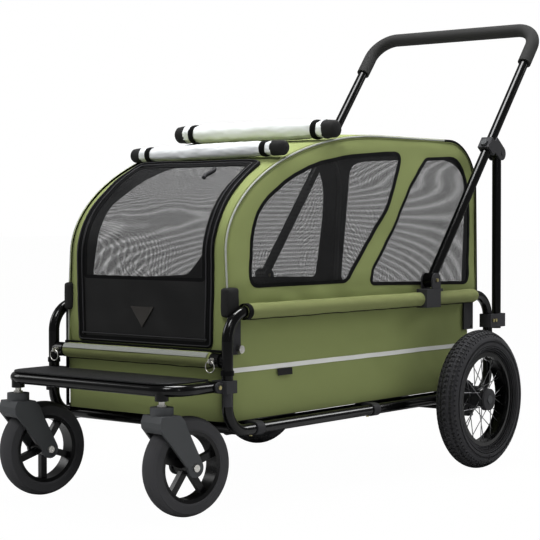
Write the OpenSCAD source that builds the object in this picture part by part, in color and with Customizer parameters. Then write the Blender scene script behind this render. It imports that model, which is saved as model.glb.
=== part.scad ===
// Pet stroller with a sewn cabin, a fold-over handle, a swivel caster front end and spoked rear wheels.
// The front faces -Y, +Z is up and z = 0 is the ground. Pieces named right are on the +X side.

/* [Side frame] */
// Distance from the centre plane to each side loop's tube centre
loop_x = 238; // [236:0.5:240]
// Diameter of the frame tubes
tube_d = 22; // [20:1:22]
// Front post centre, along the length
post_front_y = -505.5; // [-508:0.5:-503]
// Rear post centre, along the length
post_rear_y = 433.5; // [431:0.5:436]
// Height of the upper side rail's centre
rail_top_z = 381; // [379:1:382]
// Height of the lower side rail's centre
rail_low_z = 153; // [152:1:154]
// Bend radius of the loop's upper corners
bend_top_r = 55; // [50:1:58]
// Bend radius of the loop's lower corners
bend_low_r = 50; // [46:1:52]

/* [Front end] */
// Height of the front crossbar's centre
crossbar_z = 289; // [287:1:291]
// Diameter over the padded sleeves on the crossbar and the side rails
sleeve_d = 30; // [28:1:30]
// Height of the footboard tube's centre
board_z = 241; // [240:0.5:242]
// Footboard front tube centre, along the length
board_front_y = -648.5; // [-650:0.5:-647]
// Distance from the centre plane to each footboard side tube
board_x = 228; // [227:0.5:229]
// Footboard hinge centre, along the length
board_hinge_y = -534; // [-535:0.5:-533]
// Depth of the textured footboard plate
plate_depth = 116; // [110:1:116]

/* [Casters] */
// Distance from the centre plane to each caster's swivel axis
caster_x = 196; // [190:1:200]
// Swivel axis, along the length
caster_y = -643.5; // [-645:0.5:-642]
// Caster wheel diameter
caster_d = 190; // [184:1:190]
// Caster wheel width
caster_w = 42; // [38:1:43]
// How far the wheel trails behind the swivel axis
caster_trail = 57; // [54:1:58]
// How far the casters stand turned at rest, in degrees
caster_turn = 10; // [0:1:12]
// Number of spokes in a caster wheel
caster_spokes = 5; // [5:1:6]

/* [Rear wheels] */
// Rear tyre diameter, a nominal 12 1/2 inch tyre
wheel_d = 310; // [306:1:310]
// Tyre section
tyre_d = 56; // [52:1:56]
// Distance from the centre plane to each rear wheel's centre plane
wheel_x = 318; // [317:0.5:319]
// Axle centre, along the length
axle_y = 270.5; // [269:0.5:272]
// Axle diameter
axle_d = 12; // [11:1:12]
// Spokes in one rear wheel
spoke_count = 28; // [20:4:28]

/* [Handle] */
// Handle hinge centre, along the length
hinge_y = 189.5; // [188:0.5:191]
// Handle hinge centre height
hinge_z = 422; // [421:0.5:424]
// Lean of the handle from the vertical, in degrees
handle_lean = 38.4; // [37:0.1:40]
// Distance along the handle from its hinge to the push bar
handle_len = 767; // [760:1:772]
// Distance from the centre plane to each handle tube
handle_x = 240; // [239.5:0.5:240.5]
// Bend radius of the handle's corners
handle_bend = 60; // [56:1:64]
// Diameter over the foam grip
grip_d = 32; // [30:1:34]
// Diameter of the two brace poles
pole_d = 21; // [19:1:21]
// Brace pole axis, along the length
pole_y = 469.5; // [468:0.5:470]
// Height of the brace pole's upper pivot
pole_top_z = 712; // [708:1:714]
// Height of the brace pole's foot
pole_foot_z = 300; // [298:1:304]

/* [Cabin] */
// Half width of the fabric tub
tub_half_w = 221.5; // [219:0.5:221.5]
// Outer face of the tub's front panel
tub_front_y = -489; // [-489:0.5:-486]
// Outer face of the tub's back panel
tub_back_y = 388; // [384:1:390]
// Outer face of the hood's back panel at the rail
cabin_back_y = 416; // [412:1:417]
// Height of the hood's roof
roof_z = 741; // [736:1:743]
// Where the curved nose of the hood becomes the flat roof
nose_centre_y = 59; // [50:1:62]
// Half length of the nose's curve
nose_a = 543; // [538:1:545]
// Height at which the nose starts to curve
nose_z = 490; // [485:1:495]
// Radius of the hood's rear top corner
rear_r = 105; // [100:1:106]
// Lean of the hood's sides towards the middle, in degrees
side_lean = 3.2; // [2.5:0.1:3.5]
// Fabric thickness
cloth_t = 2.5; // [2:0.5:3]

/* [Door and rain covers] */
// Half width of the front door panel
door_half_w = 186; // [182:1:188]
// Height of the door's lower edge
door_low_z = 307; // [306:1:312]
// Diameter of the rolled front rain cover
roll_front_d = 32; // [30:1:34]
// Diameter of the rolled rear rain cover
roll_rear_d = 38; // [34:1:40]

/* [Hidden] */

$fn = 48;
tube_r = tube_d / 2;
sleeve_r = sleeve_d / 2;
run = 0.08;              // radial clearance of a running fit
gap = 0.5;               // clearance between neighbouring pieces
eps = 1;                 // overshoot of a cutting solid

base_rail_x = 208;       // inner floor rails
cross_front_y = -473.5;  // front cross tube, on the loops' lower bends
cross_rear_y = 401.5;
cross_z = 156;
saddle_ys = [-417.5, -28.5];
saddle_len = 22;
saddle_r = 13.5;
saddle_bolt_r = 3;
saddle_bolt_z = [136, 160];
rail_sleeve_y = [-450, 377];

collar_x = [203, 224];
collar_r = 14.5;
pull_x = 213.5;          // pull pin through each crossbar collar
pull_r = 3;
pull_head_y = -520.5;
pull_end_y = -491.5;
pull_ring_r = 11;

bracket_x = [212.5, 251];      // bracket on each front post, with two hinge ears
bracket_y = [-522.5, -492];
bracket_z = [228, 252];
bracket_ear_x = [212.5, 239.7];
bracket_ear_t = 4;
bracket_ear_r = 10.5;
bracket_tail = [243, -511];    // round tail below the bracket, beside the post
bracket_tail_z = 203;
bracket_tail_r = 9;

plate_lip_half = 205;    // the plate's rear lip runs between the hinge ears
stem_r = 6;
stem_boss_r = 13;
stem_boss_z = 222;
stem_washer_z = [211.2, 215];
stem_washer_r = 9;
fork_leg_x = caster_w / 2 + 3;
fork_leg_t = 6;
fork_gap_r = caster_d / 2 + 6;
fork_top_z = 196;
fork_cap_r = 22;
fork_end_r = 18;
cap_top_z = 211;

wheel_z = wheel_d / 2;
tyre_r = tyre_d / 2;
tyre_ring_r = wheel_z - tyre_r;
rim_in_r = 94;
plate_x = [250, 254];    // axle plate, outside the lower rail
plate_y = [240, 345];
plate_z = [108, 180];
plate_grip_x = 226.5;    // the block that grips the rail behind the plate
plate_grip_y = [248, 293];
plate_grip_z = [139, 175];
plate_foot_x = 228;      // the block under the rail that carries the brake rod
plate_foot_y = 325;
plate_foot_z = [106, 139];
housing_out_x = 272;
housing_r = 38;
flange_x = [274, 281];   // slotted brake flange on the hub
flange_r = 40;
lock_pin_circle = 30;
lock_pin_r = 4;
lock_holes = 12;
hub_in_x = 281;
hub_out_x = 338;
hub_r = 17;
hub_end_x = 344;
hub_cap_r = 24;
stub_end_x = 332;
button_r = 9.2;
button_x = [337, 346];
spoke_r = 0.9;
spoke_flange_x = [303, 333];
spoke_flange_r = 25;
spoke_twist = 34;        // degrees a spoke leans along the rim

pivot_bolt_r = 4;
knuckle_r = 16;
knuckle_half = 11.5;
ear_in = 12;             // inner face of a clamp ear from the tube's plane
ear_t = 4;
clamp_y = [148, 214];
clamp_z = [362, 403];
clamp_x = [230, 258];    // jaws beside the rail
clamp_jaw_y = 203;
clamp_cap_x = [224, 256];
clamp_cap_y = 160;
clamp_cap_z = 397;
hinge_bolt_x = [223, 259];
collar_s = [374, 404];   // latch collar, along the handle
collar_half = 15;
latch_button_s = 386;
latch_button_r = 8;
clip_x = [251.2, 254.6];  // plate of the pole clip, outside the rear post
clip_in_x = 224;
clip_y = [421, 486];
clip_jaw_y = [446, 481];  // the jaws stand before and behind this opening
clip_z = [304, 335];
clip_bolt_z = 320;
clip_bolt_r = 4;
clip_bolt_end_x = 257;
grip_start = 654;

cabin_low_z = 305;       // lower edge of the hood's front margins
rail_edge_z = 378;       // where the hood meets the tub
tub_low_z = 167;
tub_top_z = 376;
tub_front_z = 304;       // upper edge of the tub's front panel
floor_z = [169.3, 175];
mattress_z = [175.3, 203];
tape_z = [262, 271];
door_top_y = -303;
roof_cut_y = -301;
arc_inset = 6;
arc_depth = 8;
arc_x = [184, 192];
leg_x = [222.2, 226.2];
leg_front_y = [-482, -452];
leg_front_z = [298, 374];
leg_rear_y = [350, 388];
leg_rear_z = [302, 364];
leg_hole_r = 3;
leg_hole_rear_y = 380;
knob_y = -458.5;
knob_z = 308;
knob_r = 8;
seam_y = 372;            // seam between the roof and the back
roll_front_at = 130.3;   // place of each roll on the nose's curve, in degrees
roll_rear_at = 110.6;
roll_front_half = 211;
roll_rear_half = 216;
badge_z = 366;
badge_half = 32;
badge_rise = 18;
badge_drop = 24;
badge_t = 1.6;

pedal_y = 335;           // brake rod
pedal_z = 121;
pedal_rod_r = 6;
pedal_arm_half = 9;
pedal_pad_y = [392, 424];
pedal_pad_z = [112, 128];
pedal_pad_half = 45;
beyond = 300;            // a distance past every side of the cabin

// ---- helpers -------------------------------------------------------------

// A round bar between two points.
module rod(p, q, r) {
    v = q - p;
    len = norm(v);
    translate(p) rotate([0, acos(v[2] / len), atan2(v[1], v[0])]) cylinder(h = len, r = r);
}

// A round bar along X.
module rod_x(x0, x1, y, z, r) {
    translate([x0, y, z]) rotate([0, 90, 0]) cylinder(h = x1 - x0, r = r);
}

// A round bar along Y.
module rod_y(y0, y1, x, z, r) {
    translate([x, y0, z]) rotate([-90, 0, 0]) cylinder(h = y1 - y0, r = r);
}

// A round bar along Z.
module rod_z(z0, z1, x, y, r) {
    translate([x, y, z0]) cylinder(h = z1 - z0, r = r);
}

// A block between two corners.
module block(a, b) {
    translate(a) cube(b - a);
}

// A bend in the YZ plane about centre c, from angle a0 (from +Y towards +Z).
module elbow_yz(c, a0, sweep, bend_r, r) {
    translate(c) rotate([90, 0, 90]) rotate([0, 0, a0])
        rotate_extrude(angle = sweep, $fn = 96) translate([bend_r, 0]) circle(r = r, $fn = 48);
}

// A bend in the XY plane about centre c, from angle a0.
module elbow_xy(c, a0, sweep, bend_r, r) {
    translate(c) rotate([0, 0, a0])
        rotate_extrude(angle = sweep, $fn = 96) translate([bend_r, 0]) circle(r = r, $fn = 48);
}

// A ring about the X axis through (y, z), turned from a radius-along-X section.
module turned_x(y, z) {
    translate([0, y, z]) rotate([0, 90, 0]) rotate_extrude($fn = 96) children();
}

// An outline in (y, z) given a thickness from x0 to x1.
module slab_x(x0, x1) {
    translate([x0, 0, 0]) rotate([90, 0, 90]) linear_extrude(height = x1 - x0) children();
}

// The piece, and its mirror image on the other side.
module both_sides() {
    children();
    mirror([1, 0, 0]) children();
}

// The piece on one side only: side is 1 for +X and -1 for -X.
module on_side(side) {
    if (side > 0) children();
    else mirror([1, 0, 0]) children();
}

// ---- side frame ----------------------------------------------------------

module loop_solid() {
    y0 = post_front_y;
    y1 = post_rear_y;
    rod_y(y0 + bend_low_r, y1 - bend_low_r, loop_x, rail_low_z, tube_r);
    rod_y(y0 + bend_top_r, y1 - bend_top_r, loop_x, rail_top_z, tube_r);
    rod_z(rail_low_z + bend_low_r, rail_top_z - bend_top_r, loop_x, y0, tube_r);
    rod_z(rail_low_z + bend_low_r, rail_top_z - bend_top_r, loop_x, y1, tube_r);
    elbow_yz([loop_x, y0 + bend_low_r, rail_low_z + bend_low_r], 180, 90, bend_low_r, tube_r);
    elbow_yz([loop_x, y1 - bend_low_r, rail_low_z + bend_low_r], 270, 90, bend_low_r, tube_r);
    elbow_yz([loop_x, y1 - bend_top_r, rail_top_z - bend_top_r], 0, 90, bend_top_r, tube_r);
    elbow_yz([loop_x, y0 + bend_top_r, rail_top_z - bend_top_r], 90, 90, bend_top_r, tube_r);
}

module side_loops() {
    color("#1b1c1d") both_sides() loop_solid();
}

module cross_tube_solid() {
    rod_x(-loop_x, loop_x, cross_front_y, cross_z, tube_r);
    rod_x(-loop_x, loop_x, cross_rear_y, cross_z, tube_r);
}

module cross_tubes() {
    color("#1b1c1d") difference() {
        cross_tube_solid();
        both_sides() loop_solid();
    }
}

module base_rails() {
    color("#1b1c1d") both_sides() difference() {
        rod_y(cross_front_y, cross_rear_y, base_rail_x, rail_low_z, tube_r);
        cross_tube_solid();
    }
}

// A strap block that ties a floor rail to the loop's lower rail.
module saddle(y0) {
    difference() {
        union() {
            block([base_rail_x, y0 - saddle_len / 2, rail_low_z - saddle_r],
                [loop_x, y0 + saddle_len / 2, rail_low_z + saddle_r]);
            rod_y(y0 - saddle_len / 2, y0 + saddle_len / 2, base_rail_x, rail_low_z, saddle_r);
            rod_y(y0 - saddle_len / 2, y0 + saddle_len / 2, loop_x, rail_low_z, saddle_r);
        }
        rod_y(y0 - saddle_len, y0 + saddle_len, base_rail_x, rail_low_z, tube_r);
        rod_y(y0 - saddle_len, y0 + saddle_len, loop_x, rail_low_z, tube_r);
        saddle_bolt(y0);
    }
}

module saddle_bolt(y0) {
    rod_z(saddle_bolt_z[0], saddle_bolt_z[1], (loop_x + base_rail_x) / 2, y0, saddle_bolt_r);
}

module rail_saddles() {
    color("#202122") both_sides() for (y0 = saddle_ys) saddle(y0);
}

module crossbar_hole() {
    both_sides() rod_y(post_front_y - 2 * tube_r, post_front_y + 2 * tube_r, pull_x, crossbar_z, pull_r + 0.3);
}

module crossbar() {
    color("#1b1c1d") difference() {
        union() {
            rod_x(-loop_x, loop_x, post_front_y, crossbar_z, tube_r);
            both_sides() rod_x(collar_x[0], collar_x[1], post_front_y, crossbar_z, collar_r);
        }
        both_sides() loop_solid();
        crossbar_hole();
    }
}

module crossbar_sleeve() {
    color("#8a935f") difference() {
        rod_x(-collar_x[0] + gap, collar_x[0] - gap, post_front_y, crossbar_z, sleeve_r);
        rod_x(-loop_x, loop_x, post_front_y, crossbar_z, tube_r);
    }
}

module rail_sleeves() {
    color("#8a935f") both_sides() difference() {
        rod_y(rail_sleeve_y[0], rail_sleeve_y[1], loop_x, rail_top_z, sleeve_r);
        rod_y(rail_sleeve_y[0] - eps, rail_sleeve_y[1] + eps, loop_x, rail_top_z, tube_r);
    }
}

// ---- fasteners and brackets ----------------------------------------------

module frame_bolts() {
    color("#c9c8c2") both_sides() {
        for (y0 = saddle_ys) {
            saddle_bolt(y0);
        }
        rod_x(hinge_bolt_x[0], hinge_bolt_x[1], hinge_y, hinge_z, pivot_bolt_r);
        rod_x(plate_x[0], stub_end_x, axle_y, wheel_z, axle_d / 2);
        for (y0 = [post_rear_y - 1, post_rear_y + 10]) {
            rod_x(clip_x[1], clip_bolt_end_x, y0, clip_bolt_z, clip_bolt_r);
        }
        rod_x(bracket_x[0] - gap, bracket_ear_x[1] + bracket_ear_t + 2, board_hinge_y, board_z, pivot_bolt_r);
    }
}

// Bracket clamped round each front post, with two ears for the footboard's hinge.
module post_brackets() {
    color("#18191a") both_sides() difference() {
        union() {
            block([bracket_x[0], bracket_y[0], bracket_z[0]], [bracket_x[1], bracket_y[1], bracket_z[1]]);
            for (x0 = bracket_ear_x) {
                block([x0, board_hinge_y, bracket_z[0] + 2],
                    [x0 + bracket_ear_t, bracket_y[0], bracket_z[1] - 3]);
                rod_x(x0, x0 + bracket_ear_t, board_hinge_y, board_z, bracket_ear_r);
            }
            rod_z(bracket_tail_z, bracket_z[0], bracket_tail[0], bracket_tail[1], bracket_tail_r);
        }
        rod_z(bracket_tail_z - eps, bracket_z[1] + eps, loop_x, post_front_y, tube_r);
        rod_x(bracket_x[0] - eps, bracket_x[1], board_hinge_y, board_z, pivot_bolt_r);
    }
}

// Plate block round the lower rail that carries the axle stub.
module axle_plates() {
    color("#1b1c1d") both_sides() difference() {
        union() {
            block([plate_grip_x, plate_grip_y[0], plate_grip_z[0]],
                [plate_x[1], plate_grip_y[1], plate_grip_z[1]]);
            block([plate_x[0], plate_y[0], plate_z[0]], [plate_x[1], plate_y[1], plate_z[1]]);
            block([plate_foot_x, plate_foot_y, plate_foot_z[0]], [plate_x[1], plate_y[1], plate_foot_z[1]]);
        }
        rod_y(plate_y[0] - eps, plate_y[1] + eps, loop_x, rail_low_z, tube_r);
        rod_x(plate_x[0], plate_x[1] + eps, axle_y, wheel_z, axle_d / 2);
        rod_x(plate_foot_x - eps, plate_x[1] + eps, pedal_y, pedal_z, pedal_rod_r + run);
        lock_pin_bore();
    }
}

module lock_pin_bore() {
    rod_x(plate_x[0] - 2, housing_out_x + 4, axle_y + lock_pin_circle, wheel_z, lock_pin_r + run);
}

module brake_housings() {
    color("#141516") both_sides() difference() {
        rod_x(plate_x[1], housing_out_x, axle_y, wheel_z, housing_r);
        rod_x(plate_x[0], housing_out_x + eps, axle_y, wheel_z, axle_d / 2);
        lock_pin_bore();
    }
}

// Clamp over the padded side rail, with two ears for the handle's hinge.
module handle_clamps() {
    color("#151617") both_sides() difference() {
        union() {
            block([clamp_x[0], clamp_y[0], clamp_z[0]], [clamp_x[1], clamp_jaw_y, clamp_z[1]]);
            block([clamp_cap_x[0], clamp_cap_y, clamp_cap_z], [clamp_cap_x[1], clamp_y[1], clamp_z[1]]);
            for (x0 = [handle_x - ear_in - ear_t, handle_x + ear_in]) {
                rod_x(x0, x0 + ear_t, hinge_y, hinge_z, knuckle_r);
                block([x0, hinge_y - knuckle_r, clamp_z[1] - 2], [x0 + ear_t, hinge_y + knuckle_r, hinge_z]);
            }
        }
        rod_y(clamp_y[0] - eps, clamp_y[1] + eps, loop_x, rail_top_z, sleeve_r);
        rod_x(hinge_bolt_x[0], hinge_bolt_x[1], hinge_y, hinge_z, pivot_bolt_r);
    }
}

// Open clip on each rear post: the pole's foot lifts out of it.
module pole_clips() {
    color("#151617") both_sides() {
        difference() {
            union() {
                block([clip_x[0], clip_y[0], clip_z[0]], [clip_x[1], clip_y[1], clip_z[1]]);
                block([clip_in_x, clip_jaw_y[1], clip_z[0]], [clip_x[0], clip_y[1], clip_z[1]]);
                block([clip_in_x, clip_y[0], clip_z[0]], [clip_x[0], clip_jaw_y[0], clip_z[1]]);
            }
            loop_solid();
        }
    }
}

// ---- tub and bedding -----------------------------------------------------

module floor_board() {
    half = tub_half_w - 5.5;
    color("#2a2b2c") block([-half, tub_front_y + 6, floor_z[0]], [half, tub_back_y - 4, floor_z[1]]);
}

module mattress() {
    half = tub_half_w - 9.5;
    color("#6b7350") block([-half, tub_front_y + 11, mattress_z[0]], [half, tub_back_y - 8, mattress_z[1]]);
}

module tub() {
    t = cloth_t;
    color("#6f7a4e") difference() {
        block([-tub_half_w, tub_front_y, tub_low_z], [tub_half_w, tub_back_y, tub_top_z]);
        block([-tub_half_w + t, tub_front_y + t, floor_z[0] - 0.1],
            [tub_half_w - t, tub_back_y - t, tub_top_z + eps]);
        block([-beyond, tub_front_y - eps, tub_front_z], [beyond, tub_front_y + t + eps, tub_top_z + eps]);
    }
}

module reflective_tapes() {
    color("#c4c6c2") {
        both_sides() block([tub_half_w + 0.1, tub_front_y + 11, tape_z[0]],
            [tub_half_w + 0.7, tub_back_y - 16, tape_z[1]]);
    }
}

// ---- hood ----------------------------------------------------------------

// The hood's side outline in (y, z), moved inwards by d: straight front, elliptic nose, flat roof,
// round rear corner and a slightly leaning back.
function nose_point(t, d) =
    let (b = roof_z - nose_z, n = [cos(t) / nose_a, sin(t) / b])
    [nose_centre_y + nose_a * cos(t), nose_z + b * sin(t)] - d * n / norm(n);
function rear_point(t, d) =
    [cabin_back_y + 18 - rear_r + (rear_r - d) * cos(t), roof_z - rear_r + (rear_r - d) * sin(t)];
function hood_curve(d, low) = concat(
    [[nose_centre_y - nose_a + d, low]],
    [for (t = [180:-5:90]) nose_point(t, d)],
    [for (t = [90:-15:0]) rear_point(t, d)],
    [[cabin_back_y - d, rail_edge_z]]);

module hood_outline(d) {
    polygon(hood_curve(d, rail_edge_z));
}

// A leaning plane slab: children are an outline in (y, z), d0 and d1 are inward depths.
module leaning_side(d0, d1) {
    translate([tub_half_w, 0, rail_edge_z]) rotate([0, -side_lean, 0]) translate([-d1, 0, -rail_edge_z])
        slab_x(0, d1 - d0) children();
}

module canopy_sides() {
    color("#8a935f") both_sides() leaning_side(0, cloth_t) hood_outline(0);
}

// The space between the two leaning sides.
module between_sides() {
    lean = (roof_z + 60 - rail_edge_z) * tan(side_lean);
    low = tub_half_w - cloth_t - 0.6;
    rotate([90, 0, 0]) translate([0, 0, -2 * beyond]) linear_extrude(height = 4 * beyond)
        polygon([[-low, 200], [low, 200], [low, rail_edge_z], [low - lean, roof_z + 60],
            [-low + lean, roof_z + 60], [-low, rail_edge_z]]);
}

module hood_shell(low) {
    slab_x(-beyond, beyond) difference() {
        polygon(concat(hood_curve(0, low), [[cabin_back_y - 80, low]]));
        polygon(concat(hood_curve(cloth_t, low - 5), [[cabin_back_y - 80, low - 5]]));
    }
}

module canopy_roof() {
    color("#8a935f") difference() {
        intersection() {
            hood_shell(cabin_low_z);
            between_sides();
            block([-beyond, -2 * beyond, cabin_low_z], [beyond, seam_y, roof_z + eps]);
        }
        block([-door_half_w - 1, -2 * beyond, 200], [door_half_w + 1, roof_cut_y, roof_z]);
    }
}

module canopy_back() {
    color("#7f8a58") intersection() {
        union() {
            hood_shell(cabin_low_z);
            block([-beyond, tub_back_y - 4, rail_edge_z],
                [beyond, cabin_back_y - cloth_t / 2, rail_edge_z + cloth_t]);
        }
        between_sides();
        union() {
            block([-beyond, seam_y + 0.4, roof_z - rear_r], [beyond, 2 * beyond, roof_z + eps]);
            block([-beyond, tub_back_y - 4, rail_edge_z], [beyond, 2 * beyond, roof_z + eps]);
        }
    }
}

// Two flat spring arcs that hold the hood's shape, inside its side seams.
module hood_arcs() {
    color("#1a1b1c") both_sides() slab_x(arc_x[0], arc_x[1]) difference() {
        polygon(hood_curve(arc_inset, rail_edge_z));
        polygon(hood_curve(arc_inset + arc_depth, rail_edge_z - 10));
        translate([tub_back_y - 10, rail_edge_z - 10]) square([60, cloth_t + 11]);
    }
}

// The flat legs that carry the hood between the posts and the tub.
module hood_legs() {
    color("#161718") both_sides() {
        difference() {
            union() {
                block([leg_x[0], leg_front_y[0], leg_front_z[0]], [leg_x[1], leg_front_y[1], leg_front_z[1]]);
                block([leg_x[0], leg_rear_y[0], leg_rear_z[0]], [leg_x[1], leg_rear_y[1], leg_rear_z[1]]);
            }
            for (y0 = [knob_y, leg_hole_rear_y]) {
                rod_x(leg_x[0] - eps, leg_x[1] + eps, y0, knob_z, leg_hole_r);
            }
        }
    }
}

module hood_knob(side) {
    color("#c9c8c2") on_side(side) {
        rod_x(leg_x[0] + 0.2, leg_x[1] + 0.5, knob_y, knob_z, leg_hole_r - 0.1);
        rod_x(leg_x[1] + 0.5, leg_x[1] + 9, knob_y, knob_z, knob_r);
    }
}

module rain_rolls() {
    color("#c7cacb") {
        front = nose_point(roll_front_at, -roll_front_d / 2 - 0.4);
        rear = nose_point(roll_rear_at, -roll_rear_d / 2 - 0.4);
        rod_x(-roll_front_half, roll_front_half, front[0], front[1], roll_front_d / 2);
        rod_x(-roll_rear_half, roll_rear_half, rear[0], rear[1], roll_rear_d / 2);
    }
}

module front_door() {
    color("#222423") intersection() {
        slab_x(-door_half_w, door_half_w) difference() {
            polygon(concat(hood_curve(0, door_low_z), [[beyond, door_low_z]]));
            polygon(concat(hood_curve(cloth_t, door_low_z - 5), [[beyond, door_low_z - 5]]));
        }
        block([-beyond, -2 * beyond, door_low_z], [beyond, door_top_y, roof_z]);
    }
}

module door_badge() {
    y0 = nose_centre_y - nose_a;
    color("#6f706e") translate([0, y0 - 0.1, badge_z]) rotate([90, 0, 0]) linear_extrude(height = badge_t)
        polygon([[-badge_half, badge_rise], [badge_half, badge_rise], [0, -badge_drop]]);
}

// ---- footboard and casters -----------------------------------------------

module footboard_path(r) {
    bend = 50;
    rod_x(-board_x + bend, board_x - bend, board_front_y, board_z, r);
    both_sides() {
        elbow_xy([board_x - bend, board_front_y + bend, board_z], 270, 90, bend, r);
        rod_y(board_front_y + bend, board_hinge_y, board_x, board_z, r);
        rod_x(board_x - tube_r, board_x + tube_r, board_hinge_y, board_z, tube_r);
    }
}

module footboard_tube() {
    color("#1b1c1d") difference() {
        union() {
            footboard_path(tube_r);
            both_sides() rod_z(stem_boss_z, board_z, caster_x, caster_y, stem_boss_r);
        }
        both_sides()
            rod_x(board_x - tube_d, board_x + tube_d, board_hinge_y, board_z, pivot_bolt_r + run);
        both_sides() rod_z(stem_boss_z - eps, board_z - 4, caster_x, caster_y, stem_r + run);
    }
}

module footboard_plate() {
    y0 = board_front_y - 6;
    z0 = board_z + tube_r;
    half = board_x - 6;
    color("#2b2c2d") {
        block([-half, y0, z0], [half, y0 + plate_depth, z0 + 4]);
        block([-plate_lip_half, y0 + plate_depth - 3, z0 - 10], [plate_lip_half, y0 + plate_depth, z0]);
    }
}

// Children drawn with the swivel axis at the origin and the wheel trailing along +Y.
module at_caster(side) {
    translate([side * caster_x, caster_y, 0]) rotate([0, 0, -caster_turn]) children();
}

module caster_pins(side) {
    r = caster_d / 2;
    color("#b9bab8") at_caster(side) {
        rod_z(200, board_z - 5, 0, 0, stem_r);
        rod_z(stem_washer_z[0], stem_washer_z[1], 0, 0, stem_washer_r);
        rod_x(-fork_leg_x - fork_leg_t - 2, fork_leg_x + fork_leg_t + 2, caster_trail, r, 4);
        both_ends_nut(r);
    }
}

module both_ends_nut(r) {
    out = fork_leg_x + fork_leg_t;
    rod_x(out, out + 4, caster_trail, r, 7);
    rod_x(-out - 4, -out, caster_trail, r, 7);
}

module caster_fork(side) {
    r = caster_d / 2;
    out = fork_leg_x + fork_leg_t;
    color("#3b3c3e") at_caster(side) difference() {
        union() {
            slab_x(-out, out) polygon(concat(
                [[-25, 172], [-26, 184], [-21, fork_top_z], [21, fork_top_z], [31, 186], [40, 166]],
                [for (a = [30:-15:-180]) [caster_trail + fork_end_r * cos(a), r + fork_end_r * sin(a)]]));
            rod_z(fork_top_z - 6, cap_top_z, 0, 0, fork_cap_r);
        }
        rod_x(-fork_leg_x, fork_leg_x, caster_trail, r, fork_gap_r);
        rod_x(-out - eps, out + eps, caster_trail, r, 4);
        rod_z(200, 220, 0, 0, stem_r);
    }
}

module caster_rim(side) {
    r = caster_d / 2;
    hub_half = fork_leg_x - gap;
    turn = side < 0 ? 180 / caster_spokes : 0;
    color("#2c2d2f") at_caster(side) difference() {
        union() {
            turned_x(caster_trail, r) polygon([[6, -hub_half], [15, -hub_half], [15, hub_half], [6, hub_half]]);
            turned_x(caster_trail, r) polygon([[61, -16], [68, -18], [68, 18], [61, 16]]);
            for (i = [0:caster_spokes - 1]) {
                translate([0, caster_trail, r]) rotate([turn + i * 360 / caster_spokes, 0, 0])
                    block([-6, -6.5, 12], [6, 6.5, 64]);
            }
        }
        rod_x(-hub_half - eps, hub_half + eps, caster_trail, r, 4 + run);
    }
}

module caster_tyre(side) {
    r = caster_d / 2;
    color("#303132") at_caster(side) turned_x(caster_trail, r) polygon(concat(
        [[68, -18.2], [72, -20]],
        [for (a = [-60:15:60]) [r - 17 + 17 * cos(a), caster_w / 2 * sin(a) / sin(60)]],
        [[72, 20], [68, 18.2]]));
}

// ---- rear wheels ---------------------------------------------------------

module rear_hub(side) {
    color("#1d1e1f") on_side(side) difference() {
        union() {
            rod_x(flange_x[0], flange_x[1], axle_y, wheel_z, flange_r);
            rod_x(hub_in_x, hub_out_x, axle_y, wheel_z, hub_r);
            for (x0 = spoke_flange_x) {
                rod_x(x0 - 1.5, x0 + 1.5, axle_y, wheel_z, spoke_flange_r);
            }
            rod_x(hub_out_x, hub_end_x, axle_y, wheel_z, hub_cap_r);
        }
        rod_x(flange_x[0] - eps, stub_end_x + 1, axle_y, wheel_z, axle_d / 2 + run);
        rod_x(stub_end_x + 0.5, hub_end_x + eps, axle_y, wheel_z, button_r + 0.3);
        for (i = [0:lock_holes - 1]) {
            translate([0, axle_y, wheel_z]) rotate([i * 360 / lock_holes, 0, 0])
                rod_x(flange_x[0] - eps, flange_x[1] + eps, lock_pin_circle, 0, lock_pin_r + 0.6);
        }
    }
}

module hub_button(side) {
    color("#26282a") on_side(side) rod_x(button_x[0], button_x[1], axle_y, wheel_z, button_r);
}

// A crossed wire spoke from a hub flange out to the rim.
module spoke(i) {
    step = 360 / spoke_count;
    flange = spoke_flange_x[i % 2];
    lean = (floor(i / 2) % 2) * 2 - 1;
    a = i * step;
    b = a + lean * spoke_twist;
    x0 = flange + lean * 2.4;
    rod([x0, axle_y + 21 * cos(b), wheel_z + 21 * sin(b)],
        [wheel_x + (i % 2 - 0.5) * 6, axle_y + rim_in_r * cos(a), wheel_z + rim_in_r * sin(a)], spoke_r);
}

module rear_spokes(side) {
    color("#b9bab8") on_side(side) for (i = [0:spoke_count - 1]) spoke(i);
}

module tyre_solid() {
    translate([wheel_x, axle_y, wheel_z]) rotate([0, 90, 0])
        rotate_extrude($fn = 96) translate([tyre_ring_r, 0]) circle(r = tyre_r);
}

module rear_rim(side) {
    half = 18;
    color("#161718") on_side(side) difference() {
        translate([wheel_x, axle_y, wheel_z]) rotate([0, 90, 0]) rotate_extrude($fn = 96)
            polygon([[rim_in_r, -half / 2], [rim_in_r, half / 2], [96, half], [105, half],
                [105, -half], [96, -half]]);
        tyre_solid();
    }
}

module rear_tyre(side) {
    color("#28292a") on_side(side) tyre_solid();
}

// ---- handle --------------------------------------------------------------

// Children drawn with the hinge at the origin and the handle rising along +Z.
module in_handle() {
    translate([0, hinge_y, hinge_z]) rotate([-handle_lean, 0, 0]) children();
}

module handle_path(r, start) {
    corner = handle_len - handle_bend;
    rod_x(-handle_x + handle_bend, handle_x - handle_bend, 0, handle_len, r);
    both_sides() {
        rod_z(start, corner, handle_x, 0, r);
        translate([handle_x - handle_bend, 0, corner]) rotate([90, 0, 0])
            rotate_extrude(angle = 90, $fn = 96) translate([handle_bend, 0]) circle(r = r, $fn = 48);
    }
}

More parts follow.
